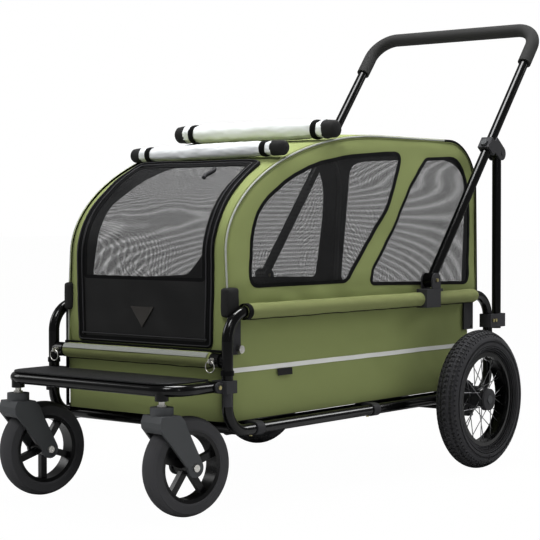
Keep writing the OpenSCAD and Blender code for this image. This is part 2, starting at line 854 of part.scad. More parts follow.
module handle_tube() {
    color("#1b1c1d") in_handle() difference() {
        union() {
            handle_path(tube_r, 0);
            both_sides() rod_x(handle_x - knuckle_half, handle_x + knuckle_half, 0, 0, knuckle_r);
        }
        both_sides() rod_x(handle_x - tube_d, handle_x + tube_d, 0, 0, pivot_bolt_r + run);
    }
}

module handle_grip() {
    color("#232425") in_handle() difference() {
        handle_path(grip_d / 2, grip_start);
        handle_path(tube_r, grip_start - 10);
    }
}

// Where the pole's upper pivot sits, seen along the handle: [across, along].
function pole_pivot_local() =
    let (dy = pole_y - hinge_y, dz = pole_top_z - hinge_z)
    [dy * cos(handle_lean) - dz * sin(handle_lean), dy * sin(handle_lean) + dz * cos(handle_lean)];

module latch_collars() {
    p = pole_pivot_local();
    color("#151617") in_handle() both_sides() difference() {
        union() {
            block([handle_x - collar_half, -17, collar_s[0]], [handle_x + collar_half, 14, collar_s[1]]);
            for (x0 = [handle_x - collar_half, handle_x + ear_in - 0.7]) {
                rod_x(x0, x0 + 3.7, p[0], p[1], knuckle_r);
                block([x0, 0, p[1] - knuckle_r], [x0 + 3.7, p[0], p[1] + knuckle_r]);
            }
            rod_x(handle_x - 17, handle_x + 17, p[0], p[1], pivot_bolt_r);
        }
        rod_z(collar_s[0] - eps, collar_s[1] + eps, handle_x, 0, tube_r);
        translate([handle_x, -10, latch_button_s]) rotate([90, 0, 0])
            cylinder(h = 12, r = latch_button_r + 0.3);
    }
}

module latch_button(side) {
    color("#2d2f30") on_side(side) in_handle()
        translate([handle_x, -14.5, latch_button_s]) rotate([90, 0, 0]) cylinder(h = 8.5, r = latch_button_r);
}

module brace_pole(side) {
    half = 10.5;
    color("#1b1c1d") on_side(side) difference() {
        union() {
            rod_z(pole_foot_z, pole_top_z, handle_x, pole_y, pole_d / 2);
            rod_x(handle_x - half, handle_x + half, pole_y, pole_top_z, 13);
        }
        rod_x(handle_x - 2 * half, handle_x + 2 * half, pole_y, pole_top_z, pivot_bolt_r + run);
    }
}

// ---- pins and brake ------------------------------------------------------

module pull_pin(side) {
    color("#c9c8c2") on_side(side) {
        difference() {
            union() {
                rod_y(pull_head_y - 2, pull_end_y, pull_x, crossbar_z, pull_r);
                rod_y(pull_head_y - 4, pull_head_y, pull_x, crossbar_z, 6);
                block([pull_x - 2, pull_head_y - 12, crossbar_z - 4],
                    [pull_x + 2, pull_head_y - 3, crossbar_z + 4]);
            }
            rod_x(pull_x - 5, pull_x + 5, pull_head_y - 8, crossbar_z, 1.7);
        }
        translate([pull_x, pull_head_y - 8, crossbar_z - pull_ring_r]) rotate([90, 0, 0])
            rotate_extrude() translate([pull_ring_r, 0]) circle(r = 1.1);
    }
}

// The brake rod between the axle plates, with its foot pedal.
module brake_pedal() {
    color("#242526") {
        rod_x(-plate_x[1] + 1, plate_x[1] - 1, pedal_y, pedal_z, pedal_rod_r);
        difference() {
            block([-pedal_arm_half, pedal_y, pedal_pad_z[0] + 2],
                [pedal_arm_half, pedal_pad_y[0], pedal_pad_z[1] - 2]);
            rod_x(-2 * pedal_arm_half, 2 * pedal_arm_half, pedal_y, pedal_z, pedal_rod_r);
        }
        block([-pedal_pad_half, pedal_pad_y[0], pedal_pad_z[0]],
            [pedal_pad_half, pedal_pad_y[1], pedal_pad_z[1]]);
    }
}

module lock_pin(side) {
    color("#b9bab8") on_side(side)
        rod_x(plate_x[0] + 1, housing_out_x - 1, axle_y + lock_pin_circle, wheel_z, lock_pin_r);
}

// ---- nodes ---------------------------------------------------------------

side_loops();
base_rails();
cross_tubes();
crossbar();
crossbar_sleeve();
rail_sleeves();
rail_saddles();
frame_bolts();
post_brackets();
axle_plates();
brake_housings();
handle_clamps();
pole_clips();
floor_board();
mattress();
tub();
canopy_sides();
canopy_roof();
canopy_back();
hood_arcs();
hood_legs();
rain_rolls();
reflective_tapes();
footboard_tube();
footboard_plate();
caster_pins(-1);  // caster_pins_left
caster_fork(-1);  // caster_fork_left
caster_rim(-1);  // caster_rim_left
caster_tyre(-1);  // caster_tyre_left
caster_pins(1);  // caster_pins_right
caster_fork(1);  // caster_fork_right
caster_rim(1);  // caster_rim_right
caster_tyre(1);  // caster_tyre_right
rear_hub(-1);  // rear_hub_left
rear_spokes(-1);  // rear_spokes_left
rear_rim(-1);  // rear_rim_left
rear_tyre(-1);  // rear_tyre_left
hub_button(-1);  // hub_button_left
rear_hub(1);  // rear_hub_right
rear_spokes(1);  // rear_spokes_right
rear_rim(1);  // rear_rim_right
rear_tyre(1);  // rear_tyre_right
hub_button(1);  // hub_button_right
handle_tube();
handle_grip();
latch_collars();
latch_button(-1);  // latch_button_left
latch_button(1);  // latch_button_right
brace_pole(-1);  // brace_pole_left
brace_pole(1);  // brace_pole_right
front_door();
door_badge();
pull_pin(-1);  // pull_pin_left
pull_pin(1);  // pull_pin_right
brake_pedal();
lock_pin(-1);  // lock_pin_left
lock_pin(1);  // lock_pin_right
hood_knob(-1);  // hood_knob_left
hood_knob(1);  // hood_knob_right
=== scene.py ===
"""Looks of a pet stroller: sewn cabin, padded rails, tyres, rain covers and finishes round its frame.

Every length is in metres, the front faces -Y and the ground is z = 0.
"""

import logging
import math
from dataclasses import dataclass, field
from enum import Enum
from typing import Callable, Iterable, Sequence

import bpy
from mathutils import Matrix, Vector, noise


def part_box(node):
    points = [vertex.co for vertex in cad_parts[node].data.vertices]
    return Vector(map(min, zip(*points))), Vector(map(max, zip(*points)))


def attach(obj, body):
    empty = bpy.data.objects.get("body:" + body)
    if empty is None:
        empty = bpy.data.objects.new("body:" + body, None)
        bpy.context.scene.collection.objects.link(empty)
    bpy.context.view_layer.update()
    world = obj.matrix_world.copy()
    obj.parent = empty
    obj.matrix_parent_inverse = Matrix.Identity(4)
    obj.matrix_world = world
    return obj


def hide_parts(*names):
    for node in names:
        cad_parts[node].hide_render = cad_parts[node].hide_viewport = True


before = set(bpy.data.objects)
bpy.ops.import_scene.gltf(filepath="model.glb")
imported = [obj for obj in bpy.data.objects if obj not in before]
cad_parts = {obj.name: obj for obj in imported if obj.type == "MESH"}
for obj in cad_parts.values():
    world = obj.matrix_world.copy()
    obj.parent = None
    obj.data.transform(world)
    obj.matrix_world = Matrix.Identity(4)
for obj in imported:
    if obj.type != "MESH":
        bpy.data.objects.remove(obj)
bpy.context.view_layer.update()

log = logging.getLogger("stroller")
Point2 = tuple[float, float]
Place = Callable[[float, float], Vector]


class Side(Enum):
    """A side of the stroller, with its sign along X."""

    LEFT = -1
    RIGHT = 1

    @property
    def tag(self) -> str:
        """The side's word, as the CAD nodes and bodies use it."""
        return self.name.lower()


# ---------------------------------------------------------------- node groups


class Wiring:
    """A node tree with short calls to add nodes and join them."""

    def __init__(self, tree: bpy.types.NodeTree) -> None:
        """Keeps the tree that the calls below add to."""
        self.tree = tree

    def add(self, kind: str, **settings: object) -> bpy.types.Node:
        """Adds a node.

        Args:
            kind: The node's Blender type name.
            settings: Attributes to set on it.

        Returns:
            The new node.
        """
        made = self.tree.nodes.new(kind)
        for key, value in settings.items():
            setattr(made, key, value)
        return made

    def join(self, source: bpy.types.NodeSocket, target: bpy.types.NodeSocket) -> None:
        """Links one socket to another."""
        self.tree.links.new(source, target)

    def math(self, operation: str, first: object, second: object = 0.0) -> bpy.types.NodeSocket:
        """Adds a Math node on two sockets or numbers.

        Args:
            operation: The Math node's operation.
            first: A socket or a number.
            second: A socket or a number.

        Returns:
            The node's result.
        """
        made = self.add("ShaderNodeMath", operation=operation)
        for index, value in enumerate((first, second)):
            if isinstance(value, bpy.types.NodeSocket):
                self.join(value, made.inputs[index])
            else:
                made.inputs[index].default_value = float(value)
        return made.outputs[0]

    def mix(self, factor: object, first: object, second: object) -> bpy.types.NodeSocket:
        """Mixes two colours.

        Args:
            factor: A socket or a number.
            first: A colour socket or a tuple.
            second: A colour socket or a tuple.

        Returns:
            The mixed colour's socket.
        """
        made = self.add("ShaderNodeMix", data_type="RGBA")
        for slot, value in ((0, factor), (6, first), (7, second)):
            if isinstance(value, bpy.types.NodeSocket):
                self.join(value, made.inputs[slot])
            else:
                made.inputs[slot].default_value = value
        return made.outputs[2]


def new_group(name: str, inputs: dict[str, float], outputs: Sequence[str]) -> Wiring:
    """Starts a shader node group with a Vector input and float inputs.

    Args:
        name: The group's name.
        inputs: Each float input's name and default.
        outputs: The float outputs' names.

    Returns:
        The group's wiring, with its two end nodes named "in" and "out".
    """
    tree = bpy.data.node_groups.new(name, "ShaderNodeTree")
    tree.interface.new_socket("Vector", in_out="INPUT", socket_type="NodeSocketVector")
    for key, value in inputs.items():
        made = tree.interface.new_socket(key, in_out="INPUT", socket_type="NodeSocketFloat")
        made.default_value = value
    for key in outputs:
        tree.interface.new_socket(key, in_out="OUTPUT", socket_type="NodeSocketFloat")
    wires = Wiring(tree)
    wires.add("NodeGroupInput", name="in")
    wires.add("NodeGroupOutput", name="out")
    return wires


def weave_group() -> bpy.types.NodeTree:
    """A plain weave: crossing threads that rise and dip in turn.

    Returns:
        The group, with outputs Height and Shade, from 0 to 1.
    """
    w = new_group("weave", {"Threads": 1400.0, "Slub": 0.25}, ("Height", "Shade"))
    source, sink = w.tree.nodes["in"], w.tree.nodes["out"]
    split = w.add("ShaderNodeSeparateXYZ")
    w.join(source.outputs["Vector"], split.inputs[0])
    turns = w.math("MULTIPLY", source.outputs["Threads"], math.pi)
    across = w.math("SINE", w.math("MULTIPLY", split.outputs[0], turns))
    along = w.math("SINE", w.math("MULTIPLY", split.outputs[1], turns))
    height = w.math("MULTIPLY_ADD", w.math("MULTIPLY", across, along), 0.5)
    height.node.inputs[2].default_value = 0.5
    fleck = w.add("ShaderNodeTexNoise")
    fleck.inputs["Scale"].default_value = 420.0
    fleck.inputs["Detail"].default_value = 3.0
    w.join(source.outputs["Vector"], fleck.inputs["Vector"])
    slub = w.math("MULTIPLY", fleck.outputs[0], source.outputs["Slub"])
    shade = w.math("ADD", w.math("MULTIPLY", height, 0.6), slub)
    w.join(height, sink.inputs["Height"])
    w.join(shade, sink.inputs["Shade"])
    return w.tree


def soil_group() -> bpy.types.NodeTree:
    """Slow variation over a whole piece, for colour and roughness.

    Returns:
        The group, with the output Mask, from 0 to 1.
    """
    w = new_group("soil", {"Scale": 6.0}, ("Mask",))
    source, sink = w.tree.nodes["in"], w.tree.nodes["out"]
    slow = w.add("ShaderNodeTexNoise")
    slow.inputs["Detail"].default_value = 5.0
    slow.inputs["Roughness"].default_value = 0.6
    w.join(source.outputs["Vector"], slow.inputs["Vector"])
    w.join(source.outputs["Scale"], slow.inputs["Scale"])
    w.join(slow.outputs[0], sink.inputs["Mask"])
    return w.tree


def grain_group() -> bpy.types.NodeTree:
    """Fine moulded or sprayed grain.

    Returns:
        The group, with outputs Height and Mask, from 0 to 1.
    """
    w = new_group("grain", {"Scale": 900.0, "Cells": 0.4}, ("Height", "Mask"))
    source, sink = w.tree.nodes["in"], w.tree.nodes["out"]
    fine = w.add("ShaderNodeTexNoise")
    fine.inputs["Detail"].default_value = 2.0
    w.join(source.outputs["Vector"], fine.inputs["Vector"])
    w.join(source.outputs["Scale"], fine.inputs["Scale"])
    cells = w.add("ShaderNodeTexVoronoi")
    w.join(source.outputs["Vector"], cells.inputs["Vector"])
    w.join(source.outputs["Scale"], cells.inputs["Scale"])
    bumps = w.math("MULTIPLY", cells.outputs["Distance"], source.outputs["Cells"])
    w.join(w.math("ADD", fine.outputs[0], bumps), sink.inputs["Height"])
    w.join(fine.outputs[0], sink.inputs["Mask"])
    return w.tree


class Effects:
    """The shader node groups that several finishes use, built once."""

    def __init__(self) -> None:
        """Builds each group."""
        self.weave = weave_group()
        self.soil = soil_group()
        self.grain = grain_group()


# ---------------------------------------------------------------- finishes


@dataclass(frozen=True)
class Finish:
    """What every finish has: a name, a slot of the record, a colour and how rough it is."""

    name: str
    slot: str
    colour: tuple[float, float, float]
    roughness: float
    metallic: float = 0.0

    def start(self, coords: str = "Object") -> tuple[Wiring, bpy.types.Node, bpy.types.NodeSocket]:
        """Starts the material.

        Args:
            coords: Object or UV, the texture coordinates that the patterns follow.

        Returns:
            The wiring, the Principled node and the coordinate socket.
        """
        material = bpy.data.materials.new(self.name)
        material.use_nodes = True
        wires = Wiring(material.node_tree)
        shader = wires.tree.nodes["Principled BSDF"]
        shader.inputs["Roughness"].default_value = self.roughness
        shader.inputs["Metallic"].default_value = self.metallic
        shader.inputs["Base Color"].default_value = (*self.colour, 1.0)
        where = wires.add("ShaderNodeTexCoord").outputs[coords]
        return wires, shader, where

    def use(self, wires: Wiring, tree: bpy.types.NodeTree, where: bpy.types.NodeSocket,
            **values: float) -> bpy.types.Node:
        """Places a shared group.

        Args:
            wires: The material's wiring.
            tree: The group.
            where: The coordinates.
            values: The group's own values.

        Returns:
            The group's node.
        """
        placed = wires.add("ShaderNodeGroup", node_tree=tree)
        wires.join(where, placed.inputs["Vector"])
        for key, value in values.items():
            placed.inputs[key].default_value = value
        return placed

    def tint(self, share: float) -> tuple[float, float, float, float]:
        """The colour made darker or lighter.

        Args:
            share: What the colour is multiplied by.

        Returns:
            A colour with alpha 1.
        """
        return (*(min(1.0, channel * share) for channel in self.colour), 1.0)

    def bump(self, wires: Wiring, shader: bpy.types.Node, height: bpy.types.NodeSocket,
             depth: float) -> None:
        """Gives the shader's normal a bump of a depth in metres."""
        made = wires.add("ShaderNodeBump")
        made.inputs["Distance"].default_value = depth
        made.inputs["Strength"].default_value = 1.0
        wires.join(height, made.inputs["Height"])
        wires.join(made.outputs[0], shader.inputs["Normal"])


@dataclass(frozen=True)
class Cloth(Finish):
    """Woven cloth, patterned along the piece's own UV map in metres."""

    threads: float = 1300.0
    contrast: float = 0.35
    sheen: float = 0.04
    gloss: float = 0.12
    depth: float = 0.00022
    coords: str = "UV"

    def build(self, effects: Effects) -> bpy.types.Material:
        """Builds the material."""
        wires, shader, where = self.start(self.coords)
        weave = self.use(wires, effects.weave, where, Threads=self.threads)
        soil = self.use(wires, effects.soil, where, Scale=5.0)
        threads = wires.mix(weave.outputs["Shade"], self.tint(1 - self.contrast), self.tint(1 + self.contrast))
        worn = wires.mix(wires.math("MULTIPLY", soil.outputs["Mask"], 0.22), threads, self.tint(0.72))
        wires.join(worn, shader.inputs["Base Color"])
        shader.inputs["Sheen Weight"].default_value = self.sheen
        shader.inputs["Sheen Roughness"].default_value = 0.45
        shader.inputs["Specular IOR Level"].default_value = self.gloss
        self.bump(wires, shader, weave.outputs["Height"], self.depth)
        return bpy.data.materials[self.name]


@dataclass(frozen=True)
class Netting(Finish):
    """See-through mesh cloth: thin threads round square holes, along the UV map in metres."""

    pitch: float = 0.0018
    cover: float = 0.62

    def build(self, effects: Effects) -> bpy.types.Material:
        """Builds the material."""
        wires, shader, where = self.start("UV")
        split = wires.add("ShaderNodeSeparateXYZ")
        wires.join(where, split.inputs[0])
        open_share = math.sqrt(1.0 - self.cover)
        holes = []
        for axis in (0, 1):
            cell = wires.math("FRACT", wires.math("DIVIDE", split.outputs[axis], self.pitch))
            holes.append(wires.math("LESS_THAN", cell, open_share))
        hole = wires.math("MULTIPLY", holes[0], holes[1])
        solid = wires.math("SUBTRACT", 1.0, hole)
        wires.join(solid, shader.inputs["Alpha"])
        soil = self.use(wires, effects.soil, where, Scale=9.0)
        wires.join(wires.mix(soil.outputs["Mask"], self.tint(0.8), self.tint(1.25)), shader.inputs["Base Color"])
        return bpy.data.materials[self.name]


@dataclass(frozen=True)
class Paint(Finish):
    """Sprayed powder coat with a slight orange peel."""

    scale: float = 700.0
    depth: float = 0.00001

    def build(self, effects: Effects) -> bpy.types.Material:
        """Builds the material."""
        wires, shader, where = self.start()
        grain = self.use(wires, effects.grain, where, Scale=self.scale, Cells=0.2)
        soil = self.use(wires, effects.soil, where, Scale=14.0)
        wires.join(wires.mix(soil.outputs["Mask"], self.tint(0.85), self.tint(1.3)), shader.inputs["Base Color"])
        rough = wires.math("MULTIPLY_ADD", soil.outputs["Mask"], 0.16)
        rough.node.inputs[2].default_value = self.roughness - 0.08
        wires.join(rough, shader.inputs["Roughness"])
        shader.inputs["Coat Weight"].default_value = 0.1
        shader.inputs["Coat Roughness"].default_value = 0.15
        shader.inputs["Specular IOR Level"].default_value = 0.35
        self.bump(wires, shader, grain.outputs["Height"], self.depth)
        return bpy.data.materials[self.name]


@dataclass(frozen=True)
class Moulded(Finish):
    """Moulded plastic, rubber or foam with a grain of its own scale."""

    scale: float = 1100.0
    cells: float = 0.8
    depth: float = 0.0001
    gloss: float = 0.08

    def build(self, effects: Effects) -> bpy.types.Material:
        """Builds the material."""
        wires, shader, where = self.start()
        grain = self.use(wires, effects.grain, where, Scale=self.scale, Cells=self.cells)
        soil = self.use(wires, effects.soil, where, Scale=11.0)
        dusty = wires.mix(soil.outputs["Mask"], self.tint(0.8), self.tint(1.35))
        flecked = wires.mix(wires.math("MULTIPLY", grain.outputs["Mask"], 0.3), dusty, self.tint(1.6))
        wires.join(flecked, shader.inputs["Base Color"])
        rough = wires.math("MULTIPLY_ADD", soil.outputs["Mask"], 0.14)
        rough.node.inputs[2].default_value = self.roughness - 0.07
        wires.join(rough, shader.inputs["Roughness"])
        shader.inputs["Specular IOR Level"].default_value = self.gloss
        self.bump(wires, shader, grain.outputs["Height"], self.depth)
        return bpy.data.materials[self.name]


@dataclass(frozen=True)
class Plated(Finish):
    """Bright zinc or nickel plate, faintly brushed."""

    metallic: float = 1.0
    scale: float = 260.0

    def build(self, effects: Effects) -> bpy.types.Material:
        """Builds the material."""
        wires, shader, where = self.start()
        grain = self.use(wires, effects.grain, where, Scale=self.scale, Cells=0.3)
        wires.join(wires.mix(grain.outputs["Mask"], self.tint(0.75), self.tint(1.1)), shader.inputs["Base Color"])
        rough = wires.math("MULTIPLY_ADD", grain.outputs["Mask"], 0.2)
        rough.node.inputs[2].default_value = self.roughness - 0.1
        wires.join(rough, shader.inputs["Roughness"])
        self.bump(wires, shader, grain.outputs["Height"], 0.00003)
        return bpy.data.materials[self.name]


@dataclass(frozen=True)
class Film(Finish):
    """Clear rain film rolled on itself, with milky layers; its crinkle noise drives a bump and also paints shade and
    highlights into its colour.
    """

    alpha: float = 0.97

    def build(self, effects: Effects) -> bpy.types.Material:
        """Builds the material."""
        wires, shader, where = self.start()
        stretch = wires.add("ShaderNodeMapping")
        stretch.inputs["Scale"].default_value = (0.3, 1.0, 1.0)
        wires.join(where, stretch.inputs["Vector"])
        crinkle = wires.add("ShaderNodeTexNoise")
        crinkle.inputs["Scale"].default_value = 48.0
        crinkle.inputs["Detail"].default_value = 6.0
        crinkle.inputs["Distortion"].default_value = 1.6
        wires.join(stretch.outputs[0], crinkle.inputs["Vector"])
        # Painted light: the ramp paints near-black shade into the crinkles' hollows and the film's colour as a painted
        # reflection on their ridges.
        crinkle_shade_and_highlight = wires.add("ShaderNodeValToRGB")
        crinkle_shade_and_highlight.color_ramp.elements[0].position = 0.45
        crinkle_shade_and_highlight.color_ramp.elements[0].color = (0.03, 0.033, 0.026, 1.0)
        crinkle_shade_and_highlight.color_ramp.elements[1].position = 0.56
        crinkle_shade_and_highlight.color_ramp.elements[1].color = (*self.colour, 1.0)
        wires.join(crinkle.outputs[0], crinkle_shade_and_highlight.inputs[0])
        wires.join(crinkle_shade_and_highlight.outputs[0], shader.inputs["Base Color"])
        shader.inputs["Metallic"].default_value = 0.15
        shader.inputs["Alpha"].default_value = self.alpha
        shader.inputs["Specular IOR Level"].default_value = 0.3
        self.bump(wires, shader, crinkle.outputs[0], 0.003)
        return bpy.data.materials[self.name]


@dataclass(frozen=True)
class Tape(Finish):
    """Light grey reflective tape with a fine honeycomb of beads."""

    def build(self, effects: Effects) -> bpy.types.Material:
        """Builds the material."""
        wires, shader, where = self.start("UV")
        cells = wires.add("ShaderNodeTexVoronoi")
        cells.inputs["Scale"].default_value = 900.0
        wires.join(where, cells.inputs["Vector"])
        soil = self.use(wires, effects.soil, where, Scale=30.0)
        bead = wires.mix(cells.outputs["Distance"], self.tint(1.1), self.tint(0.8))
        wires.join(wires.mix(wires.math("MULTIPLY", soil.outputs["Mask"], 0.3), bead, self.tint(0.7)),
                   shader.inputs["Base Color"])
        self.bump(wires, shader, cells.outputs["Distance"], 0.0001)
        return bpy.data.materials[self.name]


FINISHES: dict[str, Finish] = {
    "canvas": Cloth("olive_canvas", "olive_canvas", (0.158, 0.172, 0.078), 0.82),
    # Painted light: the same olive canvas painted lighter, at its top-lit colour, for the padded rail and crossbar
    # sleeves.
    "painted_lighter_canvas": Cloth("olive_canvas_lit_copy", "olive_canvas", (0.27, 0.296, 0.136), 0.8),
    "lining": Cloth("black_lining", "black_canvas", (0.006, 0.0062, 0.0066), 0.85, sheen=0.0, gloss=0.03),
    "black_cloth": Cloth("black_canvas", "black_canvas", (0.0055, 0.0058, 0.006), 0.5, threads=1000.0,
                         sheen=0.0, gloss=0.16),
    "door_cloth": Cloth("coated_door_cloth", "black_canvas", (0.0048, 0.005, 0.0052), 0.36, threads=1000.0,
                        contrast=0.1, sheen=0.0, gloss=0.5, depth=0.00005),
    "binding": Cloth("binding_tape", "black_canvas", (0.006, 0.0062, 0.0068), 0.7, threads=900.0, sheen=0.03,
                     coords="Object"),
    "webbing": Cloth("elastic_webbing", "black_canvas", (0.007, 0.0072, 0.0078), 0.75, threads=600.0, sheen=0.03,
                     coords="Object", depth=0.0004),
    "piping": Cloth("grey_piping", "reflective_tape", (0.45, 0.47, 0.43), 0.6, threads=1200.0, coords="Object"),
    "quilt": Cloth("quilted_mattress", "mattress_cloth", (0.15, 0.17, 0.085), 0.88, threads=1100.0,
                   coords="Object"),
    "netting": Netting("window_mesh", "black_canvas", (0.016, 0.0164, 0.0175), 0.6, cover=0.53),
    "tape": Tape("reflective_tape", "reflective_tape", (0.6, 0.61, 0.58), 0.45),
    # Painted shade: the same reflective tape painted darker, to offset the strong top light on the crossbar.
    "bar_tape": Tape("bar_tape", "reflective_tape", (0.3, 0.31, 0.285), 0.5),
    # The film's colour is the bright end of its crinkle ramp, a painted reflection.
    "film": Film("rain_film", "rain_film", (0.3, 0.31, 0.285), 0.34),
    "paint": Paint("black_powder_coat", "powder_coat", (0.0028, 0.0029, 0.0031), 0.17),
    "spring": Paint("hood_spring_paint", "spring_steel", (0.005, 0.005, 0.0055), 0.36),
    "plastic": Moulded("black_plastic", "black_plastic", (0.003, 0.0031, 0.0034), 0.45),
    "fork": Moulded("fork_plastic", "fork_plastic", (0.0058, 0.006, 0.0066), 0.44, scale=800.0, gloss=0.12),
    "board": Moulded("grained_board", "board_plastic", (0.011, 0.0112, 0.012), 0.46, scale=300.0, cells=1.4,
                     depth=0.0006, gloss=0.3),
    "panel": Moulded("floor_panel", "floor_panel", (0.01, 0.01, 0.0105), 0.7, scale=500.0),
    "tyre": Moulded("tyre_rubber", "tyre_rubber", (0.0058, 0.0059, 0.0062), 0.7, scale=600.0, cells=0.5, gloss=0.16),
    "caster": Moulded("caster_rubber", "caster_rubber", (0.0078, 0.008, 0.0084), 0.68, scale=900.0, cells=0.5),
    "foam": Moulded("foam_grip", "foam_grip", (0.0028, 0.0029, 0.0031), 0.85, scale=1500.0, cells=1.2,
                    depth=0.00025, gloss=0.02),
    "caster_rim": Moulded("glossy_rim", "fork_plastic", (0.0035, 0.0036, 0.004), 0.28, scale=900.0, depth=0.00002,
                          gloss=0.45),
    "spoke": Plated("spoke_wire", "zinc", (0.3, 0.3, 0.31), 0.32),
    "zinc": Plated("zinc_plate", "zinc", (0.7, 0.69, 0.66), 0.3),
    "yellow_zinc": Plated("yellow_zinc_plate", "zinc", (0.62, 0.56, 0.3), 0.34),
    "badge": Moulded("badge_plastic", "black_plastic", (0.06, 0.057, 0.054), 0.45, scale=1500.0),
}


class Wardrobe:
    """The materials, each built once from its finish when it is first asked for."""

    def __init__(self) -> None:
        """Builds the shared effects."""
        self.effects = Effects()
        self.made: dict[str, bpy.types.Material] = {}

    def get(self, key: str) -> bpy.types.Material:
        """The material of a finish.

        Args:
            key: A key of FINISHES.

        Returns:
            The material.
        """
        if key not in self.made:
            FINISHES[key].build(self.effects)
            self.made[key] = bpy.data.materials[FINISHES[key].name]
        return self.made[key]

    def dress(self, piece: bpy.types.Object, *keys: str) -> bpy.types.Object:
        """Gives a piece its material slots.

        Args:
            piece: A mesh object.
            keys: Keys of FINISHES, in the order of the slots.

        Returns:
            The piece.
        """
        inner = [face.index for face in piece.data.polygons if face.material_index == 1]
        piece.data.materials.clear()
        for key in keys:
            piece.data.materials.append(self.get(key))
        for index in inner if len(keys) > 1 else ():
            piece.data.polygons[index].material_index = 1
        return piece


# ---------------------------------------------------------------- mesh tools


def deselect() -> None:
    """Leaves object mode with nothing selected."""
    if bpy.context.object and bpy.context.object.mode != "OBJECT":
        bpy.ops.object.mode_set(mode="OBJECT")
    bpy.ops.object.select_all(action="DESELECT")


def pick(piece: bpy.types.Object) -> bpy.types.Object:
    """Selects one object alone and makes it active."""
    deselect()
    piece.select_set(True)
    bpy.context.view_layer.objects.active = piece
    return piece


def named(name: str) -> bpy.types.Object:
    """Names the object that an operator has just added, and its mesh."""
    piece = bpy.context.object
    piece.name = name
    piece.data.name = name
    return piece


def settle(piece: bpy.types.Object) -> bpy.types.Object:
    """Moves an object's place into its mesh, so that the object sits at the origin."""
    pick(piece)
    bpy.ops.object.transform_apply(location=True, rotation=True, scale=True)
    return piece


def finish_with(piece: bpy.types.Object, kind: str, **settings: object) -> bpy.types.Object:
    """Adds a modifier and applies it.

    Args:
        piece: A mesh object.
        kind: The modifier's type.
        settings: Its attributes.

    Returns:
        The piece.
    """
    pick(piece)
    made = piece.modifiers.new(kind.lower(), kind)
    for key, value in settings.items():
        setattr(made, key, value)
    bpy.ops.object.modifier_apply(modifier=made.name)
    return piece


def smooth(piece: bpy.types.Object, degrees: float = 40.0) -> bpy.types.Object:
    """Shades smooth, but for edges sharper than an angle."""
    pick(piece)
    bpy.ops.object.shade_smooth_by_angle(angle=math.radians(degrees))
    return piece


def outward(piece: bpy.types.Object, merge: float = 1e-5) -> bpy.types.Object:
    """Merges doubled points and turns the faces outwards."""
    pick(piece)
    bpy.ops.object.mode_set(mode="EDIT")
    bpy.ops.mesh.select_all(action="SELECT")
    bpy.ops.mesh.remove_doubles(threshold=merge)
    bpy.ops.mesh.normals_make_consistent(inside=False)
    bpy.ops.object.mode_set(mode="OBJECT")
    return piece


def move_points(piece: bpy.types.Object, rule: Callable[[Vector], Vector]) -> bpy.types.Object:
    """Moves every point of a mesh by a rule on its place."""
    for vertex in piece.data.vertices:
        vertex.co = rule(vertex.co)
    piece.data.update()
    return piece


def join(name: str, pieces: Sequence[bpy.types.Object]) -> bpy.types.Object:
    """Joins pieces into one object.

    Args:
        name: The new name.
        pieces: The objects, at least one.

    Returns:
        The joined object.
    """
    pick(pieces[0])
    for other in pieces[1:]:
        other.select_set(True)
    if len(pieces) > 1:
        bpy.ops.object.join()
    return named(name)


def mirrored(piece: bpy.types.Object, name: str) -> bpy.types.Object:
    """A copy on the other side of the centre plane, with its own mesh and its faces outwards."""
    pick(piece)
    bpy.ops.object.duplicate()
    copy = named(name)
    move_points(copy, lambda p: Vector((-p.x, p.y, p.z)))
    pick(copy)
    bpy.ops.object.mode_set(mode="EDIT")
    bpy.ops.mesh.select_all(action="SELECT")
    bpy.ops.mesh.flip_normals()
    bpy.ops.object.mode_set(mode="OBJECT")
    return copy


def sheet(name: str, columns: int, rows: int, place: Place, size: Point2) -> bpy.types.Object:
    """A grid whose points are placed by a function of (u, v) from 0 to 1.

    Args:
        name: The object's name.
        columns: Cells along u.
        rows: Cells along v.
        place: Gives a point's place from (u, v).
        size: The cloth's flat size in metres, which the UV map is drawn at.

    Returns:
        The sheet.
    """
    deselect()
    bpy.ops.mesh.primitive_grid_add(x_subdivisions=columns, y_subdivisions=rows, size=1.0)
    made = named(name)
    layer = made.data.uv_layers.active or made.data.uv_layers.new(name="UVMap")
    for loop in made.data.loops:
        flat = made.data.vertices[loop.vertex_index].co
        layer.data[loop.index].uv = ((flat.x + 0.5) * size[0], (flat.y + 0.5) * size[1])
    move_points(made, lambda p: place(p.x + 0.5, p.y + 0.5))
    return made


def tube(name: str, route: Sequence[Vector], radius: float, closed: bool = False, sides: int = 3,
         caps: bool = True) -> bpy.types.Object:
    """A round or flattened cord, binding or bar along a route.

    Args:
        name: The object's name.
        route: The centre line's points.
        radius: Half its width.
        closed: Whether the route is a loop.
        sides: The bevel resolution; the section has 4 + 2 * sides faces.
        caps: Whether open ends are filled.

    Returns:
        A mesh object.
    """
    curve = bpy.data.curves.new(name, "CURVE")
    curve.dimensions = "3D"
    curve.twist_mode = "MINIMUM"
    line = curve.splines.new("POLY")
    line.points.add(len(route) - 1)
    for knot, place in zip(line.points, route):
        knot.co = (*place, 1.0)
    line.use_cyclic_u = closed
    curve.bevel_depth = radius
    curve.bevel_resolution = sides
    curve.use_fill_caps = caps and not closed
    made = bpy.data.objects.new(name, curve)
    bpy.context.scene.collection.objects.link(made)
    pick(made)
    bpy.ops.object.convert(target="MESH")
    made = named(name)
    bpy.ops.object.shade_smooth()
    return made


